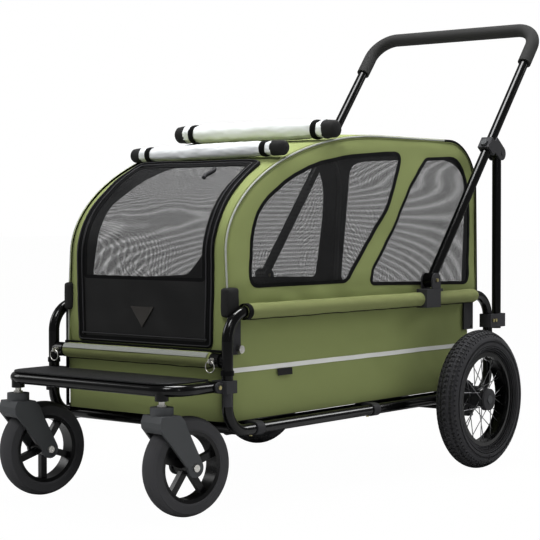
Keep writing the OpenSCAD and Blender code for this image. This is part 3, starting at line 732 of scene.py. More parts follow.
def rounded(corners: Sequence[tuple[float, float, float]], step: float = 14.0) -> list[Point2]:
    """A closed outline with rounded corners.

    Args:
        corners: Each corner's two coordinates and its radius.
        step: Degrees between points on a rounded corner.

    Returns:
        The outline's points in order.
    """
    outline: list[Point2] = []
    count = len(corners)
    for index, (ax, ay, radius) in enumerate(corners):
        here = Vector((ax, ay))
        before = Vector(corners[index - 1][:2]) - here
        after = Vector(corners[(index + 1) % count][:2]) - here
        half = before.angle(after) / 2
        reach = min(radius / math.tan(half), before.length * 0.49, after.length * 0.49)
        start = here + before.normalized() * reach
        end = here + after.normalized() * reach
        turns = max(1, round(math.degrees(math.pi - 2 * half) / step))
        for part in range(turns + 1):
            t = part / turns
            spot = start * (1 - t) ** 2 + here * 2 * t * (1 - t) + end * t ** 2
            outline.append((spot.x, spot.y))
    return outline


def spread(outline: Sequence[Point2], pitch: float) -> list[Point2]:
    """The same closed outline with points no further apart than a pitch."""
    points: list[Point2] = []
    for index, (ax, ay) in enumerate(outline):
        bx, by = outline[(index + 1) % len(outline)]
        count = max(1, math.ceil(math.hypot(bx - ax, by - ay) / pitch))
        points += [(ax + (bx - ax) * k / count, ay + (by - ay) * k / count) for k in range(count)]
    return points


def grown(outline: Sequence[Point2], distance: float) -> list[Point2]:
    """A closed outline moved outwards by a distance."""
    count = len(outline)
    area = sum(outline[i - 1][0] * outline[i][1] - outline[i][0] * outline[i - 1][1] for i in range(count))
    turn = 1.0 if area > 0 else -1.0
    moved: list[Point2] = []
    for index, (ax, ay) in enumerate(outline):
        px, py = outline[index - 1]
        nx, ny = outline[(index + 1) % count]
        along = Vector((nx - px, ny - py)).normalized()
        moved.append((ax + along.y * distance * turn, ay - along.x * distance * turn))
    return moved


def prism(name: str, outline: Sequence[Point2], low: float, high: float) -> bpy.types.Object:
    """A closed prism whose outline lies in the first two axes, from low to high along the third."""
    count = len(outline)
    points = [(x, y, z) for z in (low, high) for x, y in outline]
    walls = [(i, (i + 1) % count, count + (i + 1) % count, count + i) for i in range(count)]
    data = bpy.data.meshes.new(name)
    data.from_pydata(points, [], [tuple(range(count))[::-1], tuple(range(count, 2 * count)), *walls])
    made = bpy.data.objects.new(name, data)
    bpy.context.scene.collection.objects.link(made)
    return outward(made)


def cut(piece: bpy.types.Object, tool: bpy.types.Object, operation: str) -> bpy.types.Object:
    """Cuts a piece with a tool, which is then removed."""
    finish_with(piece, "BOOLEAN", operation=operation, object=tool, solver="EXACT")
    bpy.data.objects.remove(tool, do_unlink=True)
    return piece


def wrinkle(place: Vector, size: float, seed: float) -> float:
    """Soft cloth folds at a place: about -1 to 1, with a given size in metres."""
    spot = Vector(place) / size + Vector((seed, seed * 1.7, -seed))
    return noise.noise(spot) * 0.75 + noise.noise(spot * 2.3) * 0.25


def dip(value: float, centre: float, width: float) -> float:
    """A smooth bump of height 1 about a centre."""
    return math.exp(-(((value - centre) / width) ** 2))


# ---------------------------------------------------------------- panels


def panel(name: str, outline: Sequence[Point2], holes: Iterable[Sequence[Point2]], thickness: float,
          place: Callable[[Vector], Vector], cell: float = 0.012, skin: bool = False) -> bpy.types.Object:
    """A cut piece of cloth, made flat and then placed.

    Args:
        name: The object's name.
        outline: The cut's closed outline, in metres.
        holes: Closed outlines cut out of it.
        thickness: The cloth's thickness; its outer face is at depth 0.
        place: Gives a point's place from its flat place, with the depth as the third value.
        cell: The size of the mesh's cells.
        skin: Keeps the outer face only.

    Returns:
        The panel, with the lining's faces in material slot 1.
    """
    xs, ys = [p[0] for p in outline], [p[1] for p in outline]
    size = (max(xs) - min(xs) + 2 * cell, max(ys) - min(ys) + 2 * cell)
    deselect()
    bpy.ops.mesh.primitive_grid_add(x_subdivisions=max(2, round(size[0] / cell)),
                                    y_subdivisions=max(2, round(size[1] / cell)), size=1.0)
    made = named(name)
    centre = ((max(xs) + min(xs)) / 2, (max(ys) + min(ys)) / 2)
    move_points(made, lambda p: Vector((centre[0] + p.x * size[0], centre[1] + p.y * size[1], 0.0)))
    finish_with(made, "SOLIDIFY", thickness=thickness, offset=-1.0)
    cut(made, prism(name + "_edge", outline, -1.0, 1.0), "INTERSECT")
    for index, hole in enumerate(holes):
        cut(made, prism(f"{name}_hole_{index}", hole, -1.0, 1.0), "DIFFERENCE")
    layer = made.data.uv_layers.active or made.data.uv_layers.new(name="UVMap")
    for loop in made.data.loops:
        flat = made.data.vertices[loop.vertex_index].co
        layer.data[loop.index].uv = (flat.x, flat.y)
    if skin:
        pick(made)
        for face in made.data.polygons:
            face.select = face.normal.z < 0.5
        bpy.ops.object.mode_set(mode="EDIT")
        bpy.ops.mesh.select_mode(type="FACE")
        bpy.ops.mesh.delete(type="FACE")
        bpy.ops.object.mode_set(mode="OBJECT")
    inner = [face.index for face in made.data.polygons if face.normal.z < -0.5]
    move_points(made, place)
    for index in inner:
        made.data.polygons[index].material_index = 1
    return smooth(made, 50.0)


def band(name: str, outline: Sequence[Point2], width: float, thickness: float,
         place: Callable[[Vector], Vector], cell: float = 0.012) -> bpy.types.Object:
    """A flat tape sewn along a closed outline, half of its width on each side."""
    return panel(name, grown(outline, width / 2), [grown(outline, -width / 2)], thickness, place, cell)


def lifted(place: Callable[[Vector], Vector], height: float) -> Callable[[Vector], Vector]:
    """The same placing, further out by a height."""
    return lambda p: place(Vector((p.x, p.y, p.z + height)))


# ---------------------------------------------------------------- hood


@dataclass
class HoodShape:
    """The hood's side outline and the surfaces that its cloth lies on."""

    edge_z: float = 0.378
    low_z: float = 0.3055
    nose_y: float = 0.059
    nose_z: float = 0.490
    nose_a: float = 0.543
    roof_z: float = 0.741
    rear_r: float = 0.105
    back_y: float = 0.416
    half: float = 0.2215
    lean: float = math.radians(3.2)
    line: list[Point2] = field(default_factory=list)
    reach: list[float] = field(default_factory=list)

    def __post_init__(self) -> None:
        """Traces the outline from the front's lower edge over the roof to the back's, with its length."""
        rise = self.roof_z - self.nose_z
        front = self.nose_y - self.nose_a
        steps = 12
        points = [(front, self.low_z + (self.nose_z - self.low_z) * k / steps) for k in range(steps)]
        points += [(self.nose_y + self.nose_a * math.cos(math.radians(t)),
                    self.nose_z + rise * math.sin(math.radians(t))) for t in range(180, 89, -2)]
        centre = (self.back_y + 0.018 - self.rear_r, self.roof_z - self.rear_r)
        points += [(self.nose_y + (centre[0] - self.nose_y) * k / 14, self.roof_z) for k in range(1, 14)]
        points += [(centre[0] + self.rear_r * math.cos(math.radians(t)),
                    centre[1] + self.rear_r * math.sin(math.radians(t))) for t in range(90, -1, -6)]
        foot = (self.back_y, self.edge_z)
        points += [(points[-1][0] + (foot[0] - points[-1][0]) * k / 14, centre[1] + (foot[1] - centre[1]) * k / 14)
                   for k in range(1, 15)]
        self.line = points
        self.reach = [0.0]
        for (ay, az), (by, bz) in zip(points, points[1:]):
            self.reach.append(self.reach[-1] + math.hypot(by - ay, bz - az))

    def at(self, run: float) -> tuple[Vector, Vector]:
        """The point at a length along the outline, and the outward direction there, as (y, z)."""
        run = min(max(run, 0.0), self.reach[-1])
        index = next((k for k in range(1, len(self.reach)) if self.reach[k] >= run), len(self.reach) - 1)
        share = (run - self.reach[index - 1]) / (self.reach[index] - self.reach[index - 1])
        a, b = Vector(self.line[index - 1]), Vector(self.line[index])
        previous = Vector(self.line[max(index - 2, 0)])
        following = Vector(self.line[min(index + 1, len(self.line) - 1)])
        before, after = (b - previous).normalized(), (following - a).normalized()
        along = (before * (1 - share) + after * share).normalized()
        return a + (b - a) * share, Vector((-along.y, along.x))

    def run_at(self, z: float) -> float:
        """How far along the front of the outline a height is."""
        index = next(k for k in range(1, len(self.line)) if self.line[k][1] >= z)
        (_, low), (_, high) = self.line[index - 1], self.line[index]
        return self.reach[index - 1] + (self.reach[index] - self.reach[index - 1]) * (z - low) / (high - low)

    def run_back(self, z: float) -> float:
        """How far along the outline a height on the back is."""
        index = next(k for k in range(len(self.line) - 1, 0, -1) if self.line[k - 1][1] >= z)
        (_, high), (_, low) = self.line[index - 1], self.line[index]
        return self.reach[index - 1] + (self.reach[index] - self.reach[index - 1]) * (high - z) / (high - low)

    def half_at(self, z: float) -> float:
        """Half the hood's width at a height."""
        return self.half - max(0.0, z - self.edge_z) * math.tan(self.lean)

    def edge_gap(self, y: float, z: float) -> float:
        """Distance from a point in the side's plane to the outline, above the front's lower edge."""
        best = 1.0
        for (ay, az), (by, bz) in zip(self.line[::2], self.line[2::2]):
            ey, ez = by - ay, bz - az
            t = min(1.0, max(0.0, ((y - ay) * ey + (z - az) * ez) / (ey * ey + ez * ez)))
            best = min(best, math.hypot(y - ay - ey * t, z - az - ez * t))
        return best

    def on_side(self, flat: Vector) -> Vector:
        """Places a point of a +X side panel: flat is (y, z, depth)."""
        y, z, depth = flat
        gap = self.edge_gap(y, z)
        turn = max(0.0, 1 - gap / 0.03)
        crown = 0.003 * min(1.0, gap / 0.12) * (1.0 if z > 0.43 else 0.3)
        folds = 0.0055 * wrinkle(Vector((y, z * 1.4, 0)), 0.06, 3.1) * (dip(y, -0.40, 0.2) + 0.4) * dip(z, 0.39, 0.06)
        folds += 0.0035 * wrinkle(Vector((y * 0.8 + z, z - y * 0.5, 0)), 0.07, 8.0)
        x = self.half_at(z) + depth + crown - 0.006 * turn * turn + folds * min(1.0, gap / 0.02)
        return Vector((x, y, z))

    def on_top(self, flat: Vector) -> Vector:
        """Places a point of the nose, roof or back: flat is (x, length along the outline, depth)."""
        x, run, depth = flat
        spot, out = self.at(run)
        half = self.half_at(spot.y)
        turn = max(0.0, 1 - (half - abs(x)) / 0.035)
        slack = 0.0035 * (1 - (x / half) ** 2) * (dip(run, 0.75, 0.16) + dip(run, 1.02, 0.12))
        folds = 0.0016 * wrinkle(Vector((x * 0.8, run, 0)), 0.09, 5.5) * min(1.0, (half - abs(x)) / 0.02)
        rise = min(1.0, max(0.0, (spot.x + 0.12) / 0.16))
        crown = 0.009 * rise * (1 - (x / half) ** 2)
        drop = depth - 0.0065 * turn * turn - slack + folds + crown
        return Vector((x, spot.x + out.x * drop, spot.y + out.y * drop))

    def side_outline(self) -> list[Point2]:
        """The cut of a side panel, in (y, z)."""
        top = [p for p in self.line if p[1] >= self.edge_z + 0.002]
        return spread([(self.line[0][0], self.edge_z), *top[::1], (self.back_y, self.edge_z)], 0.02)


@dataclass
class Hood:
    """The sewn hood: sides with two windows, roof, front margins, back, bindings and piping."""

    shape: HoodShape
    wardrobe: Wardrobe
    cloth: float = 0.0014
    tape: float = 0.0075
    door_half: float = 0.178
    front_window: tuple[tuple[float, float, float], ...] = (
        (-0.418, 0.428, 0.024), (-0.404, 0.530, 0.06), (-0.383, 0.573, 0.08), (-0.355, 0.598, 0.09),
        (-0.277, 0.642, 0.2), (-0.191, 0.672, 0.25), (-0.073, 0.691, 0.3), (0.059, 0.701, 0.2),
        (0.132, 0.704, 0.026), (0.063, 0.588, 0.12), (-0.104, 0.428, 0.03))
    rear_window: tuple[tuple[float, float, float], ...] = (
        (-0.014, 0.420, 0.025), (0.372, 0.410, 0.022), (0.392, 0.579, 0.2), (0.386, 0.650, 0.1),
        (0.352, 0.699, 0.06), (0.224, 0.693, 0.025), (0.166, 0.650, 0.2), (0.083, 0.541, 0.3), (-0.008, 0.449, 0.04))

    def build(self) -> list[bpy.types.Object]:
        """Builds every piece of the hood.

        Returns:
            The pieces, dressed.
        """
        made = []
        for piece in self.sides() + self.top() + self.trims():
            made.append(piece)
            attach(piece, "frame")
        return made

    def windows(self) -> list[list[Point2]]:
        """The outlines of the two windows of a side, in (y, z)."""
        return [spread(rounded(corners), 0.02) for corners in (self.front_window, self.rear_window)]

    def sides(self) -> list[bpy.types.Object]:
        """Both side panels with their mesh windows and bindings."""
        pieces = []
        windows = self.windows()
        wall = panel("hood_side_right", self.shape.side_outline(), windows, self.cloth, self.shape.on_side)
        self.wardrobe.dress(wall, "canvas", "lining")
        nets = [panel(f"side_net_{k}", window, [], 0.0006, lifted(self.shape.on_side, -0.0004), 0.018, True)
                for k, window in enumerate(windows)]
        net = self.wardrobe.dress(join("side_windows_right", nets), "netting")
        rims = [band(f"side_rim_{k}", window, self.tape, self.cloth + 0.0016, lifted(self.shape.on_side, 0.0008))
                for k, window in enumerate(windows)]
        rim = self.wardrobe.dress(join("window_bindings_right", rims), "binding")
        for right in (wall, net, rim):
            left = mirrored(right, right.name.replace("right", "left"))
            pieces += [right, left]
        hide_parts("canopy_sides")
        return pieces

    def top_outline(self) -> list[Point2]:
        """The cut of the front margins, the roof and the back, in (x, length)."""
        total = self.shape.reach[-1]
        count = 90
        right = [(self.shape.half_at(self.shape.at(total * k / count)[0].y) - 0.001, total * k / count)
                 for k in range(count + 1)]
        return right + [(-x, run) for x, run in reversed(right)]

    def door_opening(self) -> list[Point2]:
        """The doorway's outline, in (x, length), which the door overlaps."""
        top = self.shape.run_at(0.672)
        return spread([(-self.door_half, -0.05), (self.door_half, -0.05),
                       *rounded([(self.door_half, 0.2, 0.0), (self.door_half - 0.012, top, 0.03),
                                 (-self.door_half + 0.012, top, 0.03), (-self.door_half, 0.2, 0.0)])], 0.02)

    def back_window(self) -> list[Point2]:
        """The back window's outline, in (x, length)."""
        low, high = self.shape.run_back(0.398), self.shape.run_back(0.70)
        corners = [(0.186, low, 0.02), (0.172, high, 0.07), (-0.172, high, 0.07), (-0.186, low, 0.02)]
        return spread(rounded(corners), 0.02)

    def top(self) -> list[bpy.types.Object]:
        """The roof with the front margins and the back, its window and binding."""
        opening, window = self.door_opening(), self.back_window()
        shell = panel("hood_roof", self.top_outline(), [opening, window], self.cloth, self.shape.on_top)
        self.wardrobe.dress(shell, "canvas", "lining")
        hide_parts("canopy_roof", "canopy_back")
        net = panel("back_window", grown(window, 0.004), [], 0.0006, lifted(self.shape.on_top, -0.0004), 0.018, True)
        self.wardrobe.dress(net, "netting")
        rim = self.wardrobe.dress(
            band("back_window_binding", window, 0.009, self.cloth + 0.0016,
                 lifted(self.shape.on_top, 0.0008)), "binding")
        return [shell, net, rim]

    def trims(self) -> list[bpy.types.Object]:
        """Piping along both side seams, lower edge bindings, of which the black hem under the rail sleeve is partly
        painted shadow, and the corner pockets.
        """
        pieces = []
        total = self.shape.reach[-1]
        seam = []
        for k in range(141):
            run = total * k / 140
            spot, out = self.shape.at(run)
            x = self.shape.half_at(spot.y) - 0.0025
            seam.append(Vector((x, spot.x - out.x * 0.003, spot.y - out.y * 0.003)))
        split = next(k for k, p in enumerate(seam) if p.y > 0.30)
        light = self.wardrobe.dress(tube("seam_piping_right", seam[: split + 1], 0.0021), "piping")
        dark = self.wardrobe.dress(tube("seam_binding_right", seam[split:], 0.0028), "binding")
        # Partly painted shadow: a real hem, made a black binding to stand for the dark shadow line under the rail
        # sleeve.
        hem = [self.shape.on_side(Vector((y, 0.379, 0.0006)))
               for y in (-0.476 + 0.02 * k for k in range(45)) if y < 0.412]
        lower = self.wardrobe.dress(tube("side_hem_right", hem, 0.003), "binding")
        pocket = self.wardrobe.dress(self.pocket(), "black_cloth")
        for right in (light, dark, lower, pocket):
            pieces += [right, mirrored(right, right.name.replace("right", "left"))]
        return pieces

    def pocket(self) -> bpy.types.Object:
        """The padded cloth pocket round the hood's lower front corner."""
        deselect()
        bpy.ops.mesh.primitive_cube_add(size=1.0, location=(0.2155, -0.472, 0.3985), scale=(0.021, 0.040, 0.058))
        made = settle(named("corner_pocket_right"))
        finish_with(made, "BEVEL", width=0.008, segments=3)
        finish_with(made, "SUBSURF", levels=2, render_levels=2)
        move_points(made, lambda p: p + Vector((0.0012 * wrinkle(p, 0.02, 2.0), 0.0, 0.0)))
        return smooth(made)


@dataclass
class Door:
    """The front door: a black panel with a mesh window, zips, binding and a blank badge."""

    shape: HoodShape
    wardrobe: Wardrobe
    window: tuple[tuple[float, float, float], ...] = (
        (-0.163, 0.441, 0.006), (-0.163, 0.540, 0.2), (-0.156, 0.610, 0.2), (-0.150, 0.664, 0.02),
        (0.150, 0.664, 0.02), (0.156, 0.610, 0.2), (0.163, 0.540, 0.2), (0.163, 0.441, 0.006))

    def place(self, flat: Vector) -> Vector:
        """Places a point of the door: flat is (x, length along the outline, depth)."""
        spot, out = self.shape.at(flat.y)
        billow = 0.0025 * (1 - (flat.x / 0.19) ** 2)
        folds = 0.003 * wrinkle(Vector((flat.x * 0.7, flat.y, 0)), 0.055, 1.7)
        far = 0.0026 + flat.z + billow + folds
        return Vector((flat.x, spot.x + out.x * far, spot.y + out.y * far))

    def run(self, corners: Iterable[tuple[float, float, float]]) -> list[tuple[float, float, float]]:
        """Corners given with heights, as corners with lengths along the outline."""
        return [(x, self.shape.run_at(z), radius) for x, z, radius in corners]

    def outline(self, inset: float = 0.0) -> list[Point2]:
        """The door's cut, or a line inside it by an inset."""
        edge = self.run([(0.183, 0.3085, 0.014), (0.187, 0.43, 0.4), (0.187, 0.55, 0.3), (0.181, 0.60, 0.3),
                         (0.174, 0.645, 0.2), (0.172, 0.674, 0.03)])
        low, high = edge[0][1] + inset, edge[-1][1] - inset
        right = [(x - inset, min(max(run, low), high), radius) for x, run, radius in edge]
        return spread(rounded(right + [(-x, run, radius) for x, run, radius in reversed(right)]), 0.02)

    def build(self) -> list[bpy.types.Object]:
        """Builds the door's pieces."""
        outline = self.outline()
        window = spread(rounded(self.run(self.window)), 0.015)
        leaf = panel("door_panel", outline, [window], 0.0016, self.place, 0.011)
        self.wardrobe.dress(leaf, "door_cloth", "lining")
        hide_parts("front_door")
        net = panel("door_window", grown(window, 0.004), [], 0.0006, lifted(self.place, -0.0004), 0.016, True)
        self.wardrobe.dress(net, "netting")
        rim = self.wardrobe.dress(
            band("door_window_binding", window, 0.007, 0.0024, lifted(self.place, 0.0006)), "binding")
        edge = self.wardrobe.dress(
            panel("door_edge_tape", self.outline(0.0003), [self.outline(0.012)], 0.003, lifted(self.place, 0.001)),
            "webbing")
        zips = [self.zip_line(f"zip_{k}", outline, inset) for k, inset in enumerate((0.004, 0.017))]
        line = self.wardrobe.dress(join("door_zips", zips), "plastic")
        toggle = self.toggle()
        badge = self.badge()
        pieces = [leaf, net, rim, edge, line, toggle, badge]
        for piece in pieces:
            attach(piece, "door")
        return pieces

    def zip_line(self, name: str, outline: Sequence[Point2], inset: float) -> bpy.types.Object:
        """A zip coil along the door's edge, inside it by an inset."""
        route = [self.place(Vector((x, run, 0.0022))) for x, run in grown(outline, -inset)]
        return tube(name, route, 0.0015, closed=True, sides=1)

    def toggle(self) -> bpy.types.Object:
        """The zip's pull, hanging under the front rain roll."""
        top = self.shape.run_at(0.652)
        spots = [self.place(Vector((0.080 + 0.004 * math.sin(k), top - 0.006 * k, 0.006))) for k in range(7)]
        pull = tube("zip_toggle", spots, 0.0042, sides=2)
        return self.wardrobe.dress(pull, "plastic")

    def badge(self) -> bpy.types.Object:
        """A blank badge, a triangle on its point with a raised rim."""
        deselect()
        bpy.ops.mesh.primitive_cylinder_add(vertices=3, radius=1.0, depth=1.0, end_fill_type="NGON")
        made = named("blank_badge")
        low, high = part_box("door_badge")
        height = high.z - low.z
        corners = [p.co.copy() for p in made.data.vertices]
        top = max(c.y for c in corners)
        bottom = min(c.y for c in corners)
        width = max(c.x for c in corners) - min(c.x for c in corners)
        move_points(made, lambda p: Vector((p.x / width * 0.064, -p.z * 0.0024,
                                            -(p.y - bottom) / (top - bottom) * height)))
        front = low.y - 0.0042
        move_points(made, lambda p: Vector((p.x, front + p.y, high.z + p.z)))
        outward(made)
        pick(made)
        bpy.ops.object.mode_set(mode="EDIT")
        bpy.ops.mesh.select_all(action="DESELECT")
        bpy.ops.object.mode_set(mode="OBJECT")
        for face in made.data.polygons:
            face.select = face.normal.y < -0.9
        bpy.ops.object.mode_set(mode="EDIT")
        bpy.ops.mesh.select_mode(type="FACE")
        bpy.ops.mesh.inset(thickness=0.004, depth=-0.0008)
        bpy.ops.object.mode_set(mode="OBJECT")
        finish_with(made, "BEVEL", width=0.0008, segments=2, limit_method="ANGLE")
        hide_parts("door_badge")
        return self.wardrobe.dress(smooth(made), "badge")


# ---------------------------------------------------------------- tub and rails


@dataclass
class Tub:
    """The sewn tub that hangs inside the frame, with its reflective tape and label tab."""

    wardrobe: Wardrobe
    half: float = 0.2215
    front: float = -0.489
    back: float = 0.388
    low: float = 0.1675
    top_z: float = 0.376
    step_z: float = 0.304
    corner: float = 0.026

    def build(self) -> list[bpy.types.Object]:
        """Builds the tub's pieces."""
        wall = self.wall()
        base = self.base()
        pieces = [wall, base, self.wardrobe.dress(self.front_binding(), "binding")]
        for side in Side:
            pieces += [self.tape(side), self.label(side)]
        for piece in pieces:
            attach(piece, "frame")
        return pieces

    def ring(self) -> list[Point2]:
        """The tub's outline from above."""
        corners = [(self.half, self.front, self.corner), (self.half, self.back, self.corner),
                   (-self.half, self.back, self.corner), (-self.half, self.front, self.corner)]
        return spread(rounded(corners), 0.012)

    def top_at(self, y: float) -> float:
        """The height of the wall's upper edge."""
        share = min(1.0, max(0.0, (y - self.front - 0.003) / 0.012))
        return self.step_z + (self.top_z - self.step_z) * share

    def swell(self, x: float, y: float, z: float) -> float:
        """How far the wall sags out of its plane: small, as it is sewn to a stiff floor."""
        height = (z - self.low) / (self.top_z - self.low)
        folds = (0.0045 * wrinkle(Vector((y + z * 0.8, z - y * 0.4, x)), 0.09, 4.4)
                 + 0.001 * wrinkle(Vector((y, z, x)), 0.03, 7.0))
        return (0.0015 + folds) * math.sin(math.pi * min(1.0, max(0.0, height))) - 0.0012

    def wall(self) -> bpy.types.Object:
        """The four walls, one closed strip of cloth."""
        outline = self.ring()
        outline.append(outline[0])
        lengths = [0.0]
        for (ax, ay), (bx, by) in zip(outline, outline[1:]):
            lengths.append(lengths[-1] + math.hypot(bx - ax, by - ay))
        around = len(outline) - 1

        def place(u: float, v: float) -> Vector:
            index = min(round(u * around), around)
            x, y = outline[index]
            z = self.low + (self.top_at(y) - self.low) * v
            out = Vector((x / self.half, 0, 0)) if abs(x) > self.half - 0.002 else Vector((0, math.copysign(1.0, y), 0))
            return Vector((x, y, z)) + out * self.swell(x, y, z)

        made = sheet("tub_walls", around, 22, place, (lengths[-1], self.top_z - self.low))
        outward(made, 1e-4)
        finish_with(made, "SOLIDIFY", thickness=0.0016, offset=-1.0, material_offset=1)
        self.wardrobe.dress(made, "canvas", "lining")
        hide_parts("tub", "reflective_tapes")
        return smooth(made)

    def base(self) -> bpy.types.Object:
        """The cloth under the floor board."""
        def place(u: float, v: float) -> Vector:
            x = (u - 0.5) * 2 * (self.half - 0.001)
            y = self.front + 0.001 + v * (self.back - self.front - 0.002)
            return Vector((x, y, self.low + 0.0004 + 0.0004 * wrinkle(Vector((x, y, 0)), 0.05, 9.0)))

        made = sheet("tub_base", 24, 44, place, (2 * self.half, self.back - self.front))
        finish_with(made, "SOLIDIFY", thickness=0.0009, offset=0.0)
        self.wardrobe.dress(made, "black_cloth")
        return smooth(made)

    def front_binding(self) -> bpy.types.Object:
        """Bindings on the front step's edge and its two lower corners."""
        y = self.front
        step = [Vector((x * 0.02, y + 0.0005, self.step_z)) for x in range(-11, 12)]
        parts = [tube("step_binding", step, 0.003)]
        for side in Side:
            corner = [Vector((side.value * (self.half - 0.003), y + 0.004, z * 0.01)) for z in range(17, 30)]
            parts.append(tube(f"corner_binding_{side.tag}", corner, 0.0034))
        return join("tub_bindings", parts)

    def tape(self, side: Side) -> bpy.types.Object:
        """The reflective tape along a wall."""
        def place(u: float, v: float) -> Vector:
            y = -0.478 + u * 0.850
            z = 0.262 + v * 0.0095
            return Vector((side.value * (self.half + 0.0009 + self.swell(side.value * self.half, y, z)), y, z))

        made = sheet(f"reflective_tape_{side.tag}", 110, 2, place, (0.850, 0.0095))
        if side is Side.LEFT:
            pick(made)
            bpy.ops.object.mode_set(mode="EDIT")
            bpy.ops.mesh.select_all(action="SELECT")
            bpy.ops.mesh.flip_normals()
            bpy.ops.object.mode_set(mode="OBJECT")
        finish_with(made, "SOLIDIFY", thickness=0.0008, offset=0.0)
        return self.wardrobe.dress(smooth(made), "tape")

    def label(self, side: Side) -> bpy.types.Object:
        """A blank tab sewn in under the tape."""
        def place(u: float, v: float) -> Vector:
            y = -0.335 + u * 0.045
            z = 0.2475 + v * 0.0135
            reach = self.half + 0.0022 + self.swell(side.value * self.half, y, z) + 0.0016 * (1 - v)
            return Vector((side.value * reach, y, z))

        made = sheet(f"blank_tab_{side.tag}", 8, 4, place, (0.045, 0.0135))
        finish_with(made, "SOLIDIFY", thickness=0.0009, offset=0.0)
        return self.wardrobe.dress(smooth(made), "black_cloth")


@dataclass
class Sleeve:
    """A padded cloth sleeve round a tube, gathered at its ends, with a sewn hem in black binding along its underside
    that is partly painted shadow.
    """

    wardrobe: Wardrobe
    name: str
    start: Vector
    end: Vector
    up: Vector
    radius: float = 0.0152
    bore: float = 0.0112

    def build(self, *replaced: str) -> list[bpy.types.Object]:
        """Builds the sleeve and its hem, a black binding that is partly painted shadow.

        Args:
            replaced: The CAD nodes that it stands for.

        Returns:
            The pieces.
        """
        along = (self.end - self.start).normalized()
        length = (self.end - self.start).length
        side = along.cross(self.up).normalized()

        def place(u: float, v: float) -> Vector:
            angle = 2 * math.pi * v
            spot = self.start + along * length * u
            gather = min(1.0, min(u, 1 - u) * length / 0.012)
            folds = 0.0011 * wrinkle(Vector((u * length, math.cos(angle) * 0.03, math.sin(angle) * 0.03)), 0.03, 6.1)
            pleats = 0.0007 * math.sin(angle * 9) * (1 - gather)
            r = self.bore + (self.radius - self.bore) * math.sqrt(gather) + folds * gather + pleats
            return spot + (self.up * math.cos(angle) + side * math.sin(angle)) * r

        body = sheet(self.name, round(length / 0.006), 28, place, (length, 2 * math.pi * self.radius))
        outward(body, 1e-4)
        # The sleeve's cloth is the olive canvas painted lighter, as painted light.
        self.wardrobe.dress(smooth(body), "painted_lighter_canvas")
        # Partly painted shadow: the hem runs along the sleeve's underside in black binding, standing for the dark
        # shadow line under the sleeve.
        hem_shadow_route = [place(0.01 + 0.98 * k / 80, 0.5) - self.up * 0.0004 for k in range(81)]
        hem = self.wardrobe.dress(tube(self.name + "_hem", hem_shadow_route, 0.0014, sides=2), "binding")
        for piece in (body, hem):
            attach(piece, "frame")
        if replaced:
            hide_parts(*replaced)
        return [body, hem]


@dataclass
class Mattress:
    """The quilted mattress: a foam pad in cloth, blown up a little by cloth simulation."""

    wardrobe: Wardrobe
    margin: float = 0.004

    def build(self) -> list[bpy.types.Object]:
        """Builds the mattress with its sewn channels."""
        low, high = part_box("mattress")
        centre, size = (low + high) / 2, high - low
        deselect()
        bpy.ops.mesh.primitive_cube_add(size=1.0, location=centre,
                                        scale=(size.x - 4 * self.margin, size.y - 4 * self.margin, size.z - 0.006))
        made = settle(named("mattress_pad"))
        finish_with(made, "BEVEL", width=0.009, segments=3)
        finish_with(made, "REMESH", mode="VOXEL", voxel_size=0.007, use_smooth_shade=True)
        self.inflate(made)

        def quilt(p: Vector) -> Vector:
            edge = min(p.x - low.x, high.x - p.x, p.y - low.y, high.y - p.y)
            channel = max(dip((p.y + 0.05) % 0.1 - 0.05, 0.0, 0.007), dip((p.x + 0.0705) % 0.141 - 0.0705, 0.0, 0.007))
            rise = (0.0045 * min(1.0, edge / 0.03) - 0.006 * channel) if p.z > centre.z + 0.003 else 0.0
            z = min(max(p.z + rise, low.z + 0.0003), high.z - 0.0002)
            x = min(max(p.x, low.x), high.x)
            y = min(max(p.y, low.y), high.y)
            return Vector((x, y, z))

        move_points(made, quilt)
        self.wardrobe.dress(smooth(made, 60.0), "quilt")
        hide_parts("mattress")
        cord = [Vector((x, y, centre.z)) for x, y in spread(rounded([
            (low.x + 0.004, low.y + 0.004, 0.012), (high.x - 0.004, low.y + 0.004, 0.012),
            (high.x - 0.004, high.y - 0.004, 0.012), (low.x + 0.004, high.y - 0.004, 0.012)]), 0.02)]
        edge = self.wardrobe.dress(tube("mattress_piping", cord, 0.0026, closed=True, sides=2), "binding")
        for piece in (made, edge):
            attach(piece, "frame")
        return [made, edge]

    def inflate(self, pad: bpy.types.Object) -> None:
        """Blows the pad up with cloth simulation and keeps the result."""
        rest = [vertex.co.copy() for vertex in pad.data.vertices]
        pick(pad)
        cloth = pad.modifiers.new("cloth", "CLOTH")
        cloth.settings.use_pressure = True
        cloth.settings.uniform_pressure_force = 4.0
        cloth.settings.effector_weights.gravity = 0.0
        cloth.point_cache.frame_start = 1
        cloth.point_cache.frame_end = 14
        for step in range(1, 15):
            bpy.context.scene.frame_set(step)
        bpy.ops.object.modifier_apply(modifier=cloth.name)
        bpy.context.scene.frame_set(1)
        for vertex, start in zip(pad.data.vertices, rest):
            moved = vertex.co - start
            if moved.length > 0.006:
                vertex.co = start + moved.normalized() * 0.006
        pad.data.update()


